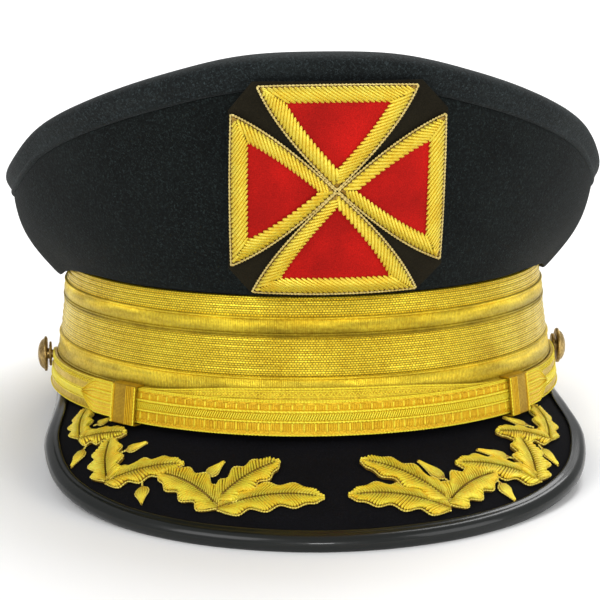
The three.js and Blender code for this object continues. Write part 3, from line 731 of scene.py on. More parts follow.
# One strand of thread or bullion wire, with narrowed ends
bpy.ops.object.select_all(action="DESELECT")
bpy.ops.mesh.primitive_cylinder_add(vertices=6, radius=1, depth=6, rotation=(0, math.pi / 2, 0))
bpy.ops.object.transform_apply(rotation=True)
bpy.ops.object.mode_set(mode="EDIT")
bpy.ops.mesh.select_mode(type="FACE")
bpy.ops.mesh.select_all(action="DESELECT")
bpy.ops.mesh.select_face_by_sides(number=6, type="EQUAL")
bpy.ops.mesh.inset(thickness=0.45, depth=0.6, use_individual=True)
for where in (-1.5, 0, 1.5):
    bpy.ops.mesh.select_all(action="SELECT")
    bpy.ops.mesh.bisect(plane_co=(where, 0, 0), plane_no=(1, 0, 0))
end_edit()
strand = take_form(bpy.context.object)

# Half a turn of a cord twisted from two threads
bpy.ops.mesh.primitive_circle_add(vertices=8, radius=1, rotation=(0, math.pi / 2, 0))
bpy.ops.object.transform_apply(rotation=True)
bpy.ops.object.mode_set(mode="EDIT")
bpy.ops.mesh.select_mode(type="EDGE")
bpy.ops.mesh.select_all(action="SELECT")
bpy.ops.transform.resize(value=(1, 0.6, 1))
for step in range(4):
    bpy.ops.mesh.extrude_region_move(TRANSFORM_OT_translate={"value": (0.6, 0, 0)})
    bpy.ops.transform.rotate(value=math.pi / 4, orient_axis="X", center_override=(0, 0, 0))
bpy.ops.mesh.select_all(action="SELECT")
bpy.ops.mesh.normals_make_consistent(inside=False)
end_edit()
cord = take_form(bpy.context.object)

# A short length of plain round wire
bpy.ops.mesh.primitive_cylinder_add(vertices=6, radius=1, depth=2, end_fill_type="NOTHING",
                                    rotation=(0, math.pi / 2, 0))
bpy.ops.object.transform_apply(rotation=True)
wire = take_form(bpy.context.object)


def lay(form, starts, ends, width, height, ground=None):
    """Copies of a form laid straight between pairs of places on the flat, over what lies there."""
    starts = np.asarray(starts, float)
    run = np.asarray(ends, float) - starts
    side = unit(np.stack([-run[:, 1], run[:, 0], 0 * run[:, 0]], axis=-1))
    middle = starts + run / 2
    x, y, z = form["points"].T
    points = middle[:, None] + run[:, None] * x[None, :, None] + side[:, None] * y[None, :, None] * width / 2
    if ground:
        points[..., 2] += ground(points[..., 0], points[..., 1])
    points[..., 2] += z * height / 2
    lengths = np.linalg.norm(run, axis=1)
    share = np.broadcast_to(x + 0.5, points.shape[:2])
    return dict(form=form, points=points, chart=np.stack([share * lengths[:, None], share], axis=-1))


def follow(form, path, width, height, pitch):
    """Copies of a form end to end along a path on the flat, each bent to the path."""
    path = np.asarray(path, float)
    run = np.concatenate([[0], np.cumsum(np.linalg.norm(np.diff(path, axis=0), axis=1))])
    count = max(1, round(run[-1] / pitch))
    x, y, z = form["points"].T
    share = (np.arange(count)[:, None] + x[None, :] + 0.5) / count
    at = share * run[-1]
    read = lambda where: np.stack([np.interp(where, run, path[:, k]) for k in range(3)], axis=-1)
    reach = min(0.25 * width, 0.2 * run[-1])
    ahead = read(np.clip(at + reach, 0, run[-1])) - read(np.clip(at - reach, 0, run[-1]))
    side = unit(np.stack([-ahead[..., 1], ahead[..., 0], 0 * at], axis=-1))
    points = read(at) + side * (y * width / 2)[None, :, None]
    points[..., 2] += z * height / 2
    return dict(form=form, points=points, chart=np.stack([at, share], axis=-1))


def gather(name, parts, place):
    """One piece out of many laid copies, moved from the flat to its place on the cap."""
    points = np.concatenate([part["points"].reshape(-1, 3) for part in parts])
    charted = np.concatenate([part["chart"].reshape(-1, 2) for part in parts])
    faces = []
    first = 0
    for part in parts:
        copies, per_copy, _ = part["points"].shape
        for base in range(first, first + copies * per_copy, per_copy):
            faces += [[base + corner for corner in face] for face in part["form"]["faces"]]
        first += copies * per_copy
    mesh = bpy.data.meshes.new(name)
    mesh.from_pydata(points, [], faces)
    write_points(mesh, place(points), charted)
    piece = bpy.data.objects.new(name, mesh)
    bpy.context.scene.collection.objects.link(piece)
    return piece


# The fine coil of a bullion wire or twist of a thread along its strand: its bump, painted shade and highlight
# across its turns, and painted shade at its root.
# A wave texture of scale 1 has its bands one wave length apart.
wave_length = 0.314
coil, coil_in, coil_out = new_group(
    "coil", [("Chart", "Vector"), ("Turns", "Float"), ("Root", "Float")],
    [("Shade", "Float"), ("Height", "Float")])
coil_wave = node(coil, "TexWave", {"Vector": coil_in["Chart"], "Scale": coil_in["Turns"], "Distortion": 0.0},
                 "Fac", wave_type="BANDS", bands_direction="X")
# Painted shade: each strand's colour is darkened over the first 0.6 of its length, towards its root.
painted_root_shade = remap(coil, node(coil, "SeparateXYZ", {0: coil_in["Chart"]}, "Y"), coil_in["Root"], 1.0, 0.0, 0.6)
# Painted shade and highlight: the colour follows the coil's bands, from 0.72 to 1.08 of the gold.
feed(coil, coil_out, Shade=maths(coil, "MULTIPLY", remap(coil, coil_wave, 0.72, 1.08), painted_root_shade),
     Height=coil_wave)


def gilded(name, bright, deep, pitch, root_shade=1.0, patches_per_mm=0.12, **constants):
    """Gilt wire or thread with a fine coil along each strand, painted shade and highlight across the coil's
    turns, and painted shade at the root if one is asked for.
    """
    finish, tree, shader = new_finish(name, **constants)
    gold = place_gilt(tree, bright, deep, patches_per_mm)
    turns = node(tree, "Group", {
        "Chart": node(tree, "UVMap", {}, uv_map="UVMap"), "Turns": wave_length / pitch,
        "Root": root_shade}, None, node_tree=coil)
    feed(tree, shader, Base_Color=darken(tree, gold["Color"], turns["Shade"]), Roughness=gold["Roughness"],
         Normal=bump(tree, turns["Height"], 0.5, 0.08))
    return finish


strap_gilt = gilded("strap_gilt", (0.80, 0.56, 0.02), (0.50, 0.32, 0.008), 0.5, Metallic=0.6)
twill_gilt = gilded("twill_gilt", (1.0, 0.87, 0.05), (0.97, 0.76, 0.025), 0.35, Metallic=0.4)
ladder_gilt = gilded("ladder_gilt", (1.0, 0.68, 0.02), (0.82, 0.50, 0.01), 0.35, Metallic=0.45)


def even(low, high, pitch):
    return np.linspace(low, high, max(2, round((high - low) / pitch) + 1))


def strap_layer(name, tip, rows, place, finish, node_name):
    """One layer of the strap, a flat tube with the given rows round its section."""
    layer = cloth(name, even(-tip, tip, 1.6), rows, lambda x, row: place(np.column_stack([x, row])),
                  chart=lambda x, row: np.stack([x, row[:, 0]], axis=-1))
    merge_ends(layer, fill=True)
    seat(layer, "strap_gold", finish, node_name)


over_rows = [
    (0, -over_wall), (0, -0.75), (0.2, -0.5), (4.1, -0.5), (4.3, -0.2), (4.8, -0.2), (5.0, -0.5), (7.1, -0.5),
    (7.3, -0.1), (8.1, -0.1), (8.3, -0.5), (11.2, -0.5), (11.4, -0.75), (11.4, -over_wall), (0, -over_wall),
]
strap_layer("strap_over_cloth", tongue_tip, over_rows, on_over, ladder_gilt, "strap_over")
under_rows = [
    (0, -under_wall), (0, -0.3), (0.3, -0.1), (14.9, -0.1), (15.2, -0.3), (15.2, -under_wall),
    (0, -under_wall),
]
strap_layer("strap_under_cloth", under_tip, under_rows, on_under, strap_gilt, "strap_under")


def cord_along(up, low, high, lift, width, height, pitch):
    """A twisted cord along the strap at one height."""
    x = even(low, high, 1.5)
    return follow(cord, np.stack([x, up + 0 * x, lift + 0 * x], axis=-1), width, height, pitch)


def battlement(low, high, half, period, lift, width, height, pitch):
    """A wire that steps up and down along the strap."""
    path = []
    for x in np.linspace(-half, half, int(2 * half / period), endpoint=False):
        path += [(x, low, lift), (x + 0.4 * period, low, lift), (x + 0.5 * period, high, lift),
                 (x + 0.9 * period, high, lift)]
    return follow(wire, path, width, height, pitch)


def ribs(low, high, start, end, pitch, slant, lift, width, height):
    """Ribs side by side across a part of the strap's width."""
    x = even(start, end, pitch)
    starts = np.stack([x, low + 0 * x, lift + 0 * x], axis=-1)
    ends = np.stack([x + slant, high + 0 * x, lift + 0 * x], axis=-1)
    return lay(strand, starts, ends, width, height)


over_cords = [
    (0.28, -0.45, 0.6, 0.55, 1.1), (4.5, -0.1, 0.8, 0.6, 1.3), (7.7, 0.0, 0.85, 0.65, 1.3),
    (10.75, -0.4, 0.5, 0.5, 1.0), (11.2, -0.5, 0.5, 0.5, 1.0),
]
between_keepers = (-keeper_middle, keeper_middle)
twill = [
    ribs(4.95, 7.2, *between_keepers, 0.8, 1.1, -0.3, 0.6, 0.9),
    ribs(1.45, 4.1, *between_keepers, 3.6, 0.0, -0.3, 0.6, 0.7),
    ribs(8.25, 10.1, *between_keepers, 3.6, 0.0, -0.3, 0.6, 0.7),
]
twill += [cord_along(up, -tongue_tip, tongue_tip, *rest) for up, *rest in over_cords]
for ends in ((-tongue_tip, -keeper_middle), (keeper_middle, tongue_tip)):
    twill += [cord_along(up, *ends, -0.45, 0.5, 0.5, 1.0) for up in (1.6, 2.9, 5.7, 6.6, 8.9, 9.8)]
seat(gather("strap_twill", twill, on_over), "strap_gold", twill_gilt)
ladder = [
    ribs(1.5, 4.1, *between_keepers, 0.56, 0.0, -0.4, 0.46, 0.5),
    ribs(8.25, 10.1, *between_keepers, 0.56, 0.0, -0.4, 0.46, 0.5),
    battlement(0.75, 1.35, keeper_middle, 1.8, -0.4, 0.34, 0.4, 0.5),
    battlement(9.9, 10.4, keeper_middle, 3.6, -0.25, 0.36, 0.45, 0.5),
]
seat(gather("strap_ladders", ladder, on_over), "strap_gold", ladder_gilt)

side_start = tongue_tip - 4.0
side_end = under_side - 2.0
under_cords = [(0.3, 0.6, 0.55, 1.1), (14.8, 0.7, 0.6, 1.2), (14.0, 0.4, 0.4, 1.0), (12.2, 0.4, 0.4, 1.0)]
under_trim = [cord_along(up, -under_side, under_side, 0.0, *rest) for up, *rest in under_cords]
under_trim.append(battlement(12.7, 13.5, under_side, 2.0, 0.0, 0.34, 0.4, 0.6))
for ends in ((-side_end, -side_start), (side_start, side_end)):
    under_trim += [
        cord_along(4.2, *ends, 0.0, 0.6, 0.5, 1.1),
        cord_along(8.6, *ends, 0.0, 0.6, 0.5, 1.1),
        ribs(4.7, 8.1, *ends, 0.75, 1.0, -0.05, 0.66, 0.5),
    ]
seat(gather("strap_under_trim", under_trim, on_under), "strap_gold", twill_gilt)

# Keepers
# The two gilt loops that hold the strap's layers together in front of the tongues. Each is one
# folded strip of lace with twisted cords along its two edges and wires between them.
strap_head = strap_foot + max(over_width, under_width * float(under_top(keeper_turn)))
keeper_body = dict(
    inner=strap_out - fit_gap - keeper_back,
    outer=over_out + over_wall + fit_gap + keeper_front,
    foot=strap_foot - fit_gap - 0.6 * keeper_rim,
    top=strap_head + fit_gap + 0.4 * keeper_rim,
)
keeper_round = 0.7
keeper_corners = [("inner", "foot", 180), ("outer", "foot", 270), ("outer", "top", 0), ("inner", "top", 90)]
keeper_rows = []
for out_edge, up_edge, first in keeper_corners:
    out = keeper_body[out_edge] + (keeper_round if out_edge == "inner" else -keeper_round)
    up = keeper_body[up_edge] + (keeper_round if up_edge == "foot" else -keeper_round)
    for angle in np.radians(np.linspace(first, first + 90, 5)):
        keeper_rows.append((up + keeper_round * math.sin(angle), out + keeper_round * math.cos(angle)))
keeper_rows.append(keeper_rows[0])
keeper_gilt = gilded("keeper_gilt", (0.57, 0.35, 0.008), (0.40, 0.225, 0.004), 0.45, Metallic=0.6)


def across_keeper(form, places, width, height, pitch):
    """Copies of a form up a keeper's face at each of the places along the strap."""
    up = np.linspace(keeper_body["foot"] + 0.3, keeper_body["top"] - 0.3, 9)
    face = keeper_body["outer"] + 0 * up
    return [follow(form, np.stack([at + 0 * up, up, face], axis=-1), width, height, pitch) for at in places]


for side, name in ((-1, "left"), (1, "right")):
    middle = side * keeper_middle
    along = np.linspace(middle - keeper_length / 2, middle + keeper_length / 2, 15)
    loop = cloth("keeper_loop_" + name, along, keeper_rows,
                 lambda x, row: on_keeper(np.column_stack([x, row])),
                 chart=lambda x, row: np.stack([row[:, 0], x], axis=-1))
    merge_ends(loop, turn_out=False)
    finish_with(loop, "SOLIDIFY", thickness=keeper_back, offset=-1.0)
    seat(loop, "strap_gold", keeper_gilt, "keeper_" + name)
    edges = across_keeper(cord, (middle - 5.3, middle + 5.3), 0.7, 0.7, 1.1)
    seat(gather("keeper_cords_" + name, edges, on_keeper), "strap_gold", twill_gilt)
    wires = [middle + off for off in (-4.6, -side * 4.0, -side * 3.2, -side * 2.4, -side * 1.6, 4.6)]
    wires = across_keeper(wire, wires, 0.45, 0.6, 1.6)
    seat(gather("keeper_wires_" + name, wires, on_keeper), "strap_gold", ladder_gilt)

# Buttons
# The two side buttons that fasten the strap: a hollow aged brass dome with a rolled rim, on a neck,
# a washer and a shank that goes through the band to a small disc inside.
button_up = strap_foot + over_width * 0.72
button_rise = 3.4
button_neck = 0.8
neck_radius = 1.95
shank_radius = 1.5
washer_radius = 4.4
washer_wall = 0.7
slant = band_lean / band_height
button_wall = head_half_width - slant * button_up
disc_radius = washer_radius * 0.7
disc_face = button_wall - fit_gap - disc_radius * slant
washer_face = button_wall + strap_out + under_wall + fit_gap + washer_radius * slant
dome_face = washer_face + washer_wall + button_neck
button_outline = [
    (0, disc_face - washer_wall), (disc_radius - 0.2, disc_face - washer_wall),
    (disc_radius, disc_face - washer_wall + 0.2), (disc_radius, disc_face), (shank_radius, disc_face),
    (shank_radius, washer_face), (washer_radius - 0.15, washer_face), (washer_radius, washer_face + 0.15),
    (washer_radius, washer_face + washer_wall - 0.15), (washer_radius - 0.15, washer_face + washer_wall),
    (neck_radius, washer_face + washer_wall), (neck_radius, dome_face),
]
dome_outline = [
    (button_radius - 0.6, 0), (button_radius - 0.15, 0.12), (button_radius, 0.5), (button_radius - 0.1, 0.9),
    (button_radius - 0.5, 1.05), (button_radius - 0.65, 1.0), (button_radius - 0.8, 1.25), (4.9, 2.1),
    (3.9, 2.7), (2.7, 3.12), (1.4, 3.33), (0, button_rise),
]
button_outline += [(radius, dome_face + out) for radius, out in dome_outline]
brass, brass_tree, brass_shader = new_finish("brass", Metallic=1.0)
brass_tone = place_gilt(brass_tree, (0.62, 0.44, 0.16), (0.20, 0.13, 0.05), 0.2)
feed(brass_tree, brass_shader, Base_Color=brass_tone["Color"], Roughness=brass_tone["Roughness"],
     Normal=bump(brass_tree, brass_tone["Spread"], 0.2, 0.1))
for side, name in ((-1, "left"), (1, "right")):
    outline = bpy.data.meshes.new("button_" + name)
    points = [(side * out, 0, button_up + radius) for radius, out in button_outline]
    outline.from_pydata(points, [(k, k + 1) for k in range(len(points) - 1)], [])
    button = bpy.data.objects.new("brass_button_" + name, outline)
    bpy.context.scene.collection.objects.link(button)
    edit(button)
    bpy.ops.mesh.spin(steps=40, angle=2 * math.pi, center=(0, 0, button_up), axis=(1, 0, 0))
    end_edit()
    merge_ends(button)
    edit(button)
    bpy.ops.uv.smart_project()
    end_edit()
    seat(button, "button_brass", brass, "button_" + name)

# Badge
# A cross pattée sewn on the front of the crown: an octagon of black velvet over buckram, four red
# felt fields, and round each field a padded border of slanting bullion inside a pale twisted cord.
badge_half = 34.6
badge_corner = 8.5
badge_aside = 4.3
badge_centre = 78.8
badge_wall = 1.2
arm_reach = 34.0
arm_spread = 25.1
arms = [
    dict(name="top", reach=34.0, spread=25.1, point=0.88),
    dict(name="right", reach=34.0, spread=24.6, point=0.72),
    dict(name="bottom", reach=34.0, spread=26.5, point=0.65),
    dict(name="left", reach=32.9, spread=25.0, point=0.68),
]
welt_stand_off = 0.21
border_width = 5.4
flank_width = 4.8
border_inset = 0.65
flank_bow = 0.3
end_bow = 0.45
border_rise = 2.0
field_rise = 1.0
border_foot = badge_wall + fit_gap
bullion_slant = math.radians(33)
bullion_pitch = 0.88


def on_badge(flat):
    """Places on the crown's front: to the side, up, and a lift off the cloth. The badge stands off
    at the seam, to clear the welt and the roll."""
    lean = math.atan2(seam_front - crown_ring(np.zeros(1), np.zeros(1), 0)[1][0], crown_rise)
    up = badge_centre + flat[..., 1] * math.cos(lean)

    def ring_at(turn):
        foot = hem_up(turn) + cloth_wall
        share = (up - foot) / (seam_up(turn) - foot)
        near = np.clip((share - 0.5) / 0.47, 0, 1)
        stand_off = welt_stand_off * roll_rise * near * near * (3 - 2 * near)
        return crown_ring(turn, np.minimum(share, 1), 2 * fit_gap + flat[..., 2] + stand_off)

    turn = 0 * up
    for step in range(3):
        turn = np.arcsin((flat[..., 0] + badge_aside) / ring_at(turn)[0])
    return on_oval(turn, *ring_at(turn)[:3], up)


def turned(along, across, angle):
    """A place on an arm that points at an angle from the top, as a place on the badge, or back."""
    return along * np.sin(angle) + across * np.cos(angle), along * np.cos(angle) - across * np.sin(angle)


def on_arm(flat):
    """Places on the badge's arms, whose sides and ends bow a little outwards."""
    angle = np.rint(np.arctan2(flat[..., 0], flat[..., 1]) / (math.pi / 2)) * math.pi / 2
    along, across = turned(flat[..., 0], flat[..., 1], angle)
    share = np.clip(along / arm_reach, 0, 1)
    along = along + end_bow * share ** 3 * (1 - (across / arm_spread) ** 2)
    across = across * (1 + flank_bow * (1 - share ** 1.5))
    return on_badge(np.stack([*turned(along, across, angle), flat[..., 2]], axis=-1))


def arm_corners(quarter, from_end, from_flank, point=1.0):
    """The centre, right and left corners of an arm's triangle, drawn in from its end and its flanks,
    with the centre corner brought nearer to the badge's middle."""
    flank = math.atan2(arms[quarter]["spread"], arms[quarter]["reach"])
    apex = from_flank / math.sin(flank)
    reach = arms[quarter]["reach"] - from_end
    spread = (reach - apex) * math.tan(flank)
    return [np.array(turned(along, across, quarter * math.pi / 2))
            for along, across in ((apex * point, 0), (reach, spread), (reach, -spread))]


def plate(name, corners, low, high, soften, place):
    """A plate with a given outline and softened edges, cut from a fine flat grid and then bent."""
    bpy.ops.object.select_all(action="DESELECT")
    bpy.ops.mesh.primitive_grid_add(x_subdivisions=44, y_subdivisions=44, size=2.04 * badge_half,
                                    location=(0, 0, high))
    piece = bpy.context.object
    piece.name = name
    bpy.ops.object.transform_apply(location=True)
    bpy.ops.object.mode_set(mode="EDIT")
    for corner, following in zip(corners, corners[1:] + corners[:1]):
        bpy.ops.mesh.select_all(action="SELECT")
        side = math.dist(corner, following)
        bpy.ops.mesh.bisect(plane_co=(*corner, 0), clear_outer=True, plane_no=(
            (following[1] - corner[1]) / side, (corner[0] - following[0]) / side, 0))
    end_edit()
    finish_with(piece, "SOLIDIFY", thickness=high - low, offset=-1.0)
    finish_with(piece, "BEVEL", width=soften, segments=2, limit_method="ANGLE")
    flat = read_points(piece.data)
    write_points(piece.data, place(flat), flat[:, :2])
    return piece


# A grid that is stuffed into a padded strip
bpy.ops.mesh.primitive_grid_add(x_subdivisions=20, y_subdivisions=8, size=1)
quilt = take_form(bpy.context.object)


def stuff(line, far_line, lifts):
    """A padded strip between two lines on the flat, with lifts from the one line to the other."""
    x, y, _ = quilt["points"].T
    at = (x + 0.5) * (len(line) - 1)
    read = lambda path, k: np.interp(at, np.arange(len(path)), np.asarray(path, float)[:, k])
    part = y + 0.5
    share = np.clip((part - 0.125) / 0.75, 0, 1)
    flat = [read(line, k) * (1 - share) + read(far_line, k) * share for k in (0, 1)]
    lift = np.interp(part, np.linspace(0, 1, len(lifts)), lifts)
    points = np.stack([*flat, lift], axis=-1)[None]
    return dict(form=quilt, points=points, chart=points[..., :2])


badge_velvet = napped("badge_velvet", (0.011, 0.009, 0.0045), (0.035, 0.03, 0.02), 2.6, 0.2, 0.1,
                      Specular_IOR_Level=0.1)
red_felt = napped("red_felt", (0.38, 0.005, 0.003), (0.5, 0.02, 0.012), 3.2, 0.12, 0.08,
                  Specular_IOR_Level=0.15)
# The bullion strands have a little painted shade towards their roots.
badge_bullion = gilded("badge_bullion", (0.96, 0.81, 0.10), (0.88, 0.62, 0.035), 0.4, 0.85, Metallic=0.55)
pale_cord = gilded("pale_cord", (0.86, 0.70, 0.26), (0.62, 0.45, 0.12), 0.4, Metallic=0.45)
# The padding's gilt is painted dark, as painted shade in the gaps between the strands that lie over it.
shaded_padding_gilt = gilded("shaded_padding_gilt", (0.45, 0.27, 0.03), (0.28, 0.15, 0.015), 0.5, Metallic=0.4)

far = badge_half
near = badge_half - badge_corner
top = badge_half + 0.8
left = arms[3]["reach"] + 0.6
octagon = [(far, near), (near, top), (-near, top), (-left, near), (-left, -near), (-near, -far), (near, -far),
           (far, -near)]
backing = plate("badge_velvet_backing", octagon, 0, badge_wall, 0.4, on_badge)
seat(backing, "badge_black", badge_velvet, "badge_backing")
for quarter, arm in enumerate(arms):
    corners = arm_corners(quarter, border_width - 0.3, flank_width - 0.3, arm["point"])
    field = plate("badge_felt_" + arm["name"], corners, border_foot, border_foot + field_rise, 0.3, on_arm)
    seat(field, "badge_red", red_felt, "badge_arm_" + arm["name"])


def within(place, direction, corners):
    """The stretch of a line that lies inside an outline: its two distances from the place."""
    low, high = (-1e6, 1e6)
    for corner, following in zip(corners, corners[1:] + corners[:1]):
        inward = np.array([corner[1] - following[1], following[0] - corner[0]])
        rate = float(inward @ direction)
        reach = float(inward @ (corner - place))
        if abs(rate) < 1e-9:
            if reach > 0:
                return (0, 0)
        elif rate > 0:
            low = max(low, reach / rate)
        else:
            high = min(high, reach / rate)
    return (low, high)


def border_parts(quarter, side):
    """The padding and the slanting bullion along one side of an arm's border."""
    outer = arm_corners(quarter, border_inset, border_inset)
    inner = arm_corners(quarter, border_width, flank_width, arms[quarter]["point"])
    corner, following = outer[side], outer[(side + 1) % 3]
    ring = [corner, following, inner[(side + 1) % 3], inner[side]]
    length = np.linalg.norm(following - corner)
    run = (following - corner) / length
    inward = np.array([-run[1], run[0]])
    width = (border_width if side == 1 else flank_width) - border_inset
    slanted = -math.cos(bullion_slant) * run + math.sin(bullion_slant) * inward
    starts = []
    ends = []
    for at in np.arange(0, length + width / math.tan(bullion_slant), bullion_pitch / math.sin(bullion_slant)):
        place = corner + run * at
        low, high = within(place, slanted, ring)
        if high - low > 1.2:
            starts.append((*(place + slanted * low), 0.12))
            ends.append((*(place + slanted * (high + 0.25)), 0.12))

    def ground(u, v):
        across = ((u - corner[0]) * inward[0] + (v - corner[1]) * inward[1]) / width
        return border_foot + border_rise * (0.55 + 0.45 * (1 - (2 * np.clip(across, 0, 1) - 1) ** 2))

    low = border_foot + 0.45 * border_rise
    crest = border_foot + 0.9 * border_rise
    middle = (low + crest) / 2
    padding = stuff([ring[0], ring[1]], [ring[3], ring[2]],
                    [border_foot, low, middle, crest, crest, middle, low, border_foot])
    return padding, lay(strand, starts, ends, bullion_pitch * 0.98, 0.85, ground)


border_padding = []
border_bullion = []
border_cords = []
for quarter in range(4):
    for side in range(3):
        padding, bullion = border_parts(quarter, side)
        border_padding.append(padding)
        border_bullion.append(bullion)
    edge = arm_corners(quarter, 0.2, 0.2)
    edge = np.array([(*corner, border_foot + 0.35 * border_rise) for corner in edge + edge[:1]])
    fine = [edge[k] + (edge[k + 1] - edge[k]) * share for k in range(3) for share in np.linspace(0, 1, 30)]
    border_cords.append(follow(cord, fine, 0.78, 0.85, 1.15))
seat(gather("badge_padding", border_padding, on_arm), "badge_bullion", shaded_padding_gilt, "badge_border")
seat(gather("badge_bullion", border_bullion, on_arm), "badge_bullion", badge_bullion, "badge_border")
seat(gather("badge_cords", border_cords, on_arm), "badge_bullion", pale_cord, "badge_border")

# Sprays
# The two oak sprays on the visor: lobed leaves padded on both sides of a midrib and covered with
# slanting gilt thread, edged with a pale cord, and buds on thin stems between them.
spray_rise = 1.3
whole_length = 99.0
leaf_outline = dict(
    along=[0.0, 0.08, 0.2, 0.3, 0.46, 0.58, 0.72, 0.83, 0.92, 1.0],
    wide=[0.15, 0.55, 0.98, 0.7, 1.14, 0.74, 0.96, 0.58, 0.46, 0.06],
)
bud_outline = dict(along=[0.22, 0.32, 0.48, 0.66, 0.84, 1.0], wide=[0.2, 0.8, 1.0, 0.62, 0.25, 0.05])

# Each leaf's base and tip, across and ahead of the cap's middle, its width and its bow, and each
# bud's base, tip and width, all as shares of the head's half width
sprays = [
    dict(name="left", side=-1, leaves=[
        ((0.912, 0.9), (0.89, 0.655), 0.086, 0.05),
        ((0.912, 0.913), (0.73, 0.975), 0.1, 0.04),
        ((0.798, 1.229), (0.79, 0.993), 0.118, 0.05),
        ((0.808, 1.224), (0.514, 1.262), 0.11, 0.05),
        ((0.393, 1.506), (0.608, 1.274), 0.125, -0.05),
        ((0.399, 1.477), (0.165, 1.345), 0.125, 0.05),
        ((0.4, 1.508), (0.013, 1.519), 0.112, 0.05),
    ], buds=[
        ((0.864, 0.833), (0.795, 0.815), 0.04),
        ((0.754, 1.087), (0.65, 1.076), 0.042),
        ((0.885, 0.967), (0.941, 1.072), 0.045),
        ((0.669, 1.289), (0.672, 1.395), 0.05),
        ((0.448, 1.363), (0.365, 1.297), 0.05),
    ]),
    dict(name="right", side=1, leaves=[
        ((0.888, 0.99), (0.868, 0.715), 0.088, 0.06),
        ((0.888, 0.992), (0.672, 1.045), 0.095, 0.06),
        ((0.79, 1.272), (0.762, 1.045), 0.13, 0.06),
        ((0.815, 1.255), (0.485, 1.295), 0.11, 0.06),
        ((0.43, 1.5), (0.638, 1.295), 0.128, -0.05),
        ((0.437, 1.487), (0.128, 1.35), 0.112, 0.06),
        ((0.443, 1.518), (0.072, 1.51), 0.112, 0.05),
    ], buds=[
        ((0.84, 0.925), (0.719, 0.91), 0.04),
        ((0.735, 1.178), (0.578, 1.19), 0.042),
        ((0.838, 1.045), (0.9, 1.14), 0.045),
        ((0.635, 1.32), (0.695, 1.408), 0.052),
        ((0.46, 1.4), (0.342, 1.318), 0.048),
    ]),
]


def on_visor_face(flat):
    """Places on the visor's velvet: across and ahead of the cap's middle, and a lift off it."""
    bearing = np.arctan2(flat[..., 0], flat[..., 1])
    root = np.linalg.norm(visor_middle(bearing, 0 * bearing)[..., :2], axis=-1)
    rim = np.linalg.norm(visor_middle(bearing, 0 * bearing + 1)[..., :2], axis=-1)
    share = (np.hypot(flat[..., 0], flat[..., 1]) - root) / (rim - root)
    return on_visor(bearing, share, visor_wall / 2 + fit_gap + flat[..., 2])


def leaf_frame(side, base, tip, width, bow=0):
    """A leaf's base, run, direction square to its run and half width, and the places on it: a share
    of the way along it, a distance out from its midrib, and a lift."""
    base = np.array(base) * head_half_width * (side, 1)
    run = np.array(tip) * head_half_width * (side, 1) - base
    square = np.array([-run[1], run[0]]) / np.linalg.norm(run)
    bow = bow * np.linalg.norm(run) * side

    def place(along, out, lift):
        along = np.asarray(along, float)
        flat = base + run * along[:, None] + square * (out + bow * np.sin(math.pi * along))[:, None]
        return np.concatenate([flat, (lift + 0 * along)[:, None]], axis=1)

    return base, run, square, width * head_half_width / 2, place


def leaf_parts(leaf, side, lift):
    """One leaf: its padding, its threads and its cords."""
    base, run, square, half, place = leaf_frame(side, *leaf)
    shares = np.linspace(0, 1, 41)
    wide = lambda along: half * smooth(leaf_outline, "along", "wide", along)
    low, crest = (lift + 0.3 * spray_rise, lift + 0.85 * spray_rise)

    def ground(u, v):
        away = np.abs((u - base[0]) * square[0] + (v - base[1]) * square[1]) / half
        return lift + spray_rise * np.interp(away, [0, 0.15, 0.5, 0.85, 1.1], [0.5, 0.75, 0.95, 0.65, 0.35])

    padding = []
    threads = []
    cords = []
    for flank in (-1, 1):
        rim = place(shares, flank * wide(shares), low + 0.1)
        padding.append(stuff(place(shares, flank * 0.15, 0), rim,
                             [0, lift + 0.5 * spray_rise, crest, crest, low + 0.2, low, 0]))
        along = np.linspace(0.01, 0.97, max(8, round(np.linalg.norm(run) / 0.92)))
        reach = np.clip(along + 0.14 * (1 - 0.6 * along), 0, 1)
        ends = place(reach, flank * wide(reach) * 0.97, 0.1)
        threads.append(lay(strand, place(along, flank * 0.25, 0.1), ends, 0.78, 1.05, ground))
        cords.append(follow(cord, rim, 0.6, 0.6, 0.85))
    cords.append(follow(cord, place([0.0, 0.04, 0.1], 0, lift + 0.4), 0.75, 0.7, 0.9))
    return padding, threads, cords


def bud_parts(bud, side):
    """One bud on its stem: padding, threads that run its length, and a cord for the stem and rim."""
    half, place = leaf_frame(side, *bud)[3:]
    shares = np.linspace(0.22, 1, 25)
    wide = half * smooth(bud_outline, "along", "wide", shares)
    rise = 0.8 * spray_rise
    padding = [stuff(place(shares, -wide, 0), place(shares, wide, 0),
                     [0, 0.3, 0.7 * rise, rise, rise, 0.7 * rise, 0.3, 0])]
    across = np.linspace(-0.7, 0.7, 5)
    paths = [place(shares, part * wide, rise * (0.95 - 0.55 * part * part)) for part in across]
    threads = [follow(strand, path[2:-1], 0.75, 0.6, whole_length) for path in paths]
    cords = [follow(cord, place(shares, flank * wide, 0.35), 0.5, 0.5, 0.8) for flank in (-1, 1)]
    cords.append(follow(cord, place(np.linspace(0, 0.28, 8), 0, 0.4), 0.7, 0.7, 0.9))
    return padding, threads, cords
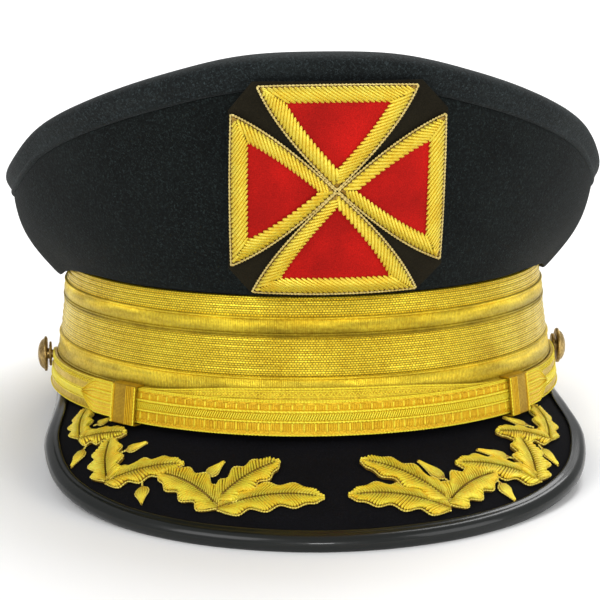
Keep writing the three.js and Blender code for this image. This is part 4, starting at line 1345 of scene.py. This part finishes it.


# The leaf threads' colour is painted darker towards their roots at the midrib, as painted shade in its
# groove.
leaf_gilt = gilded("leaf_gilt", (1.0, 0.90, 0.07), (0.97, 0.62, 0.02), 0.4, 0.6, 0.22, Metallic=0.25)
leaf_cord = gilded("leaf_cord", (1.0, 0.86, 0.16), (0.85, 0.62, 0.08), 0.4, Metallic=0.35)
for spray in sprays:
    parts = [leaf_parts(leaf, spray["side"], 0.3 * (order % 3)) for order, leaf in enumerate(spray["leaves"])]
    parts += [bud_parts(bud, spray["side"]) for bud in spray["buds"]]
    kinds = (("leaf_padding_", shaded_padding_gilt), ("leaf_threads_", leaf_gilt), ("leaf_cords_", leaf_cord))
    for (kind, finish), made in zip(kinds, zip(*parts)):
        piece = gather(kind + spray["name"], sum(made, []), on_visor_face)
        seat(piece, "spray_bullion", finish, "spray_" + spray["name"])

# Camera
# A long lens at the photograph's angle, a little to the cap's right side and just above its band.
photo_yaw = math.radians(-3.3)
photo_rise = math.radians(6.8)
photo_distance = 800.0
photo_focal = 2216.0
photo_width = 600.0
photo_aim = Vector((0, 0, 60.0))
photo_aim_pixel = (302.2, 208.8)
sensor = 36.0
away = Vector((math.sin(photo_yaw) * math.cos(photo_rise), -math.cos(photo_yaw) * math.cos(photo_rise),
               math.sin(photo_rise)))


def tip_place(place):
    """The place on the table of a place on the level cap."""
    tilt_cos = math.cos(rest_tilt)
    tilt_sin = math.sin(rest_tilt)
    return Vector((place.x, place.y * tilt_cos + place.z * tilt_sin + cap_ahead,
                   place.z * tilt_cos - place.y * tilt_sin + cap_up)) * mm


eye = tip_place(photo_aim + away * photo_distance)
target = tip_place(photo_aim)
bpy.ops.object.camera_add(location=eye)
camera = bpy.context.object
camera.data.sensor_width = sensor
camera.data.lens = photo_focal / photo_width * sensor
camera.data.clip_end = 30
facing = (target - eye).to_track_quat("-Z", "Y").to_matrix()
down = math.atan2(photo_width / 2 - photo_aim_pixel[1], photo_focal)
across = math.atan2(photo_width / 2 - photo_aim_pixel[0], photo_focal)
ray = Vector((math.tan(across), -math.tan(down), -1)).normalized()
camera.rotation_euler = (facing @ ray).to_track_quat("-Z", "Y").to_euler()
bpy.context.scene.camera = camera

bpy.context.view_layer.update()
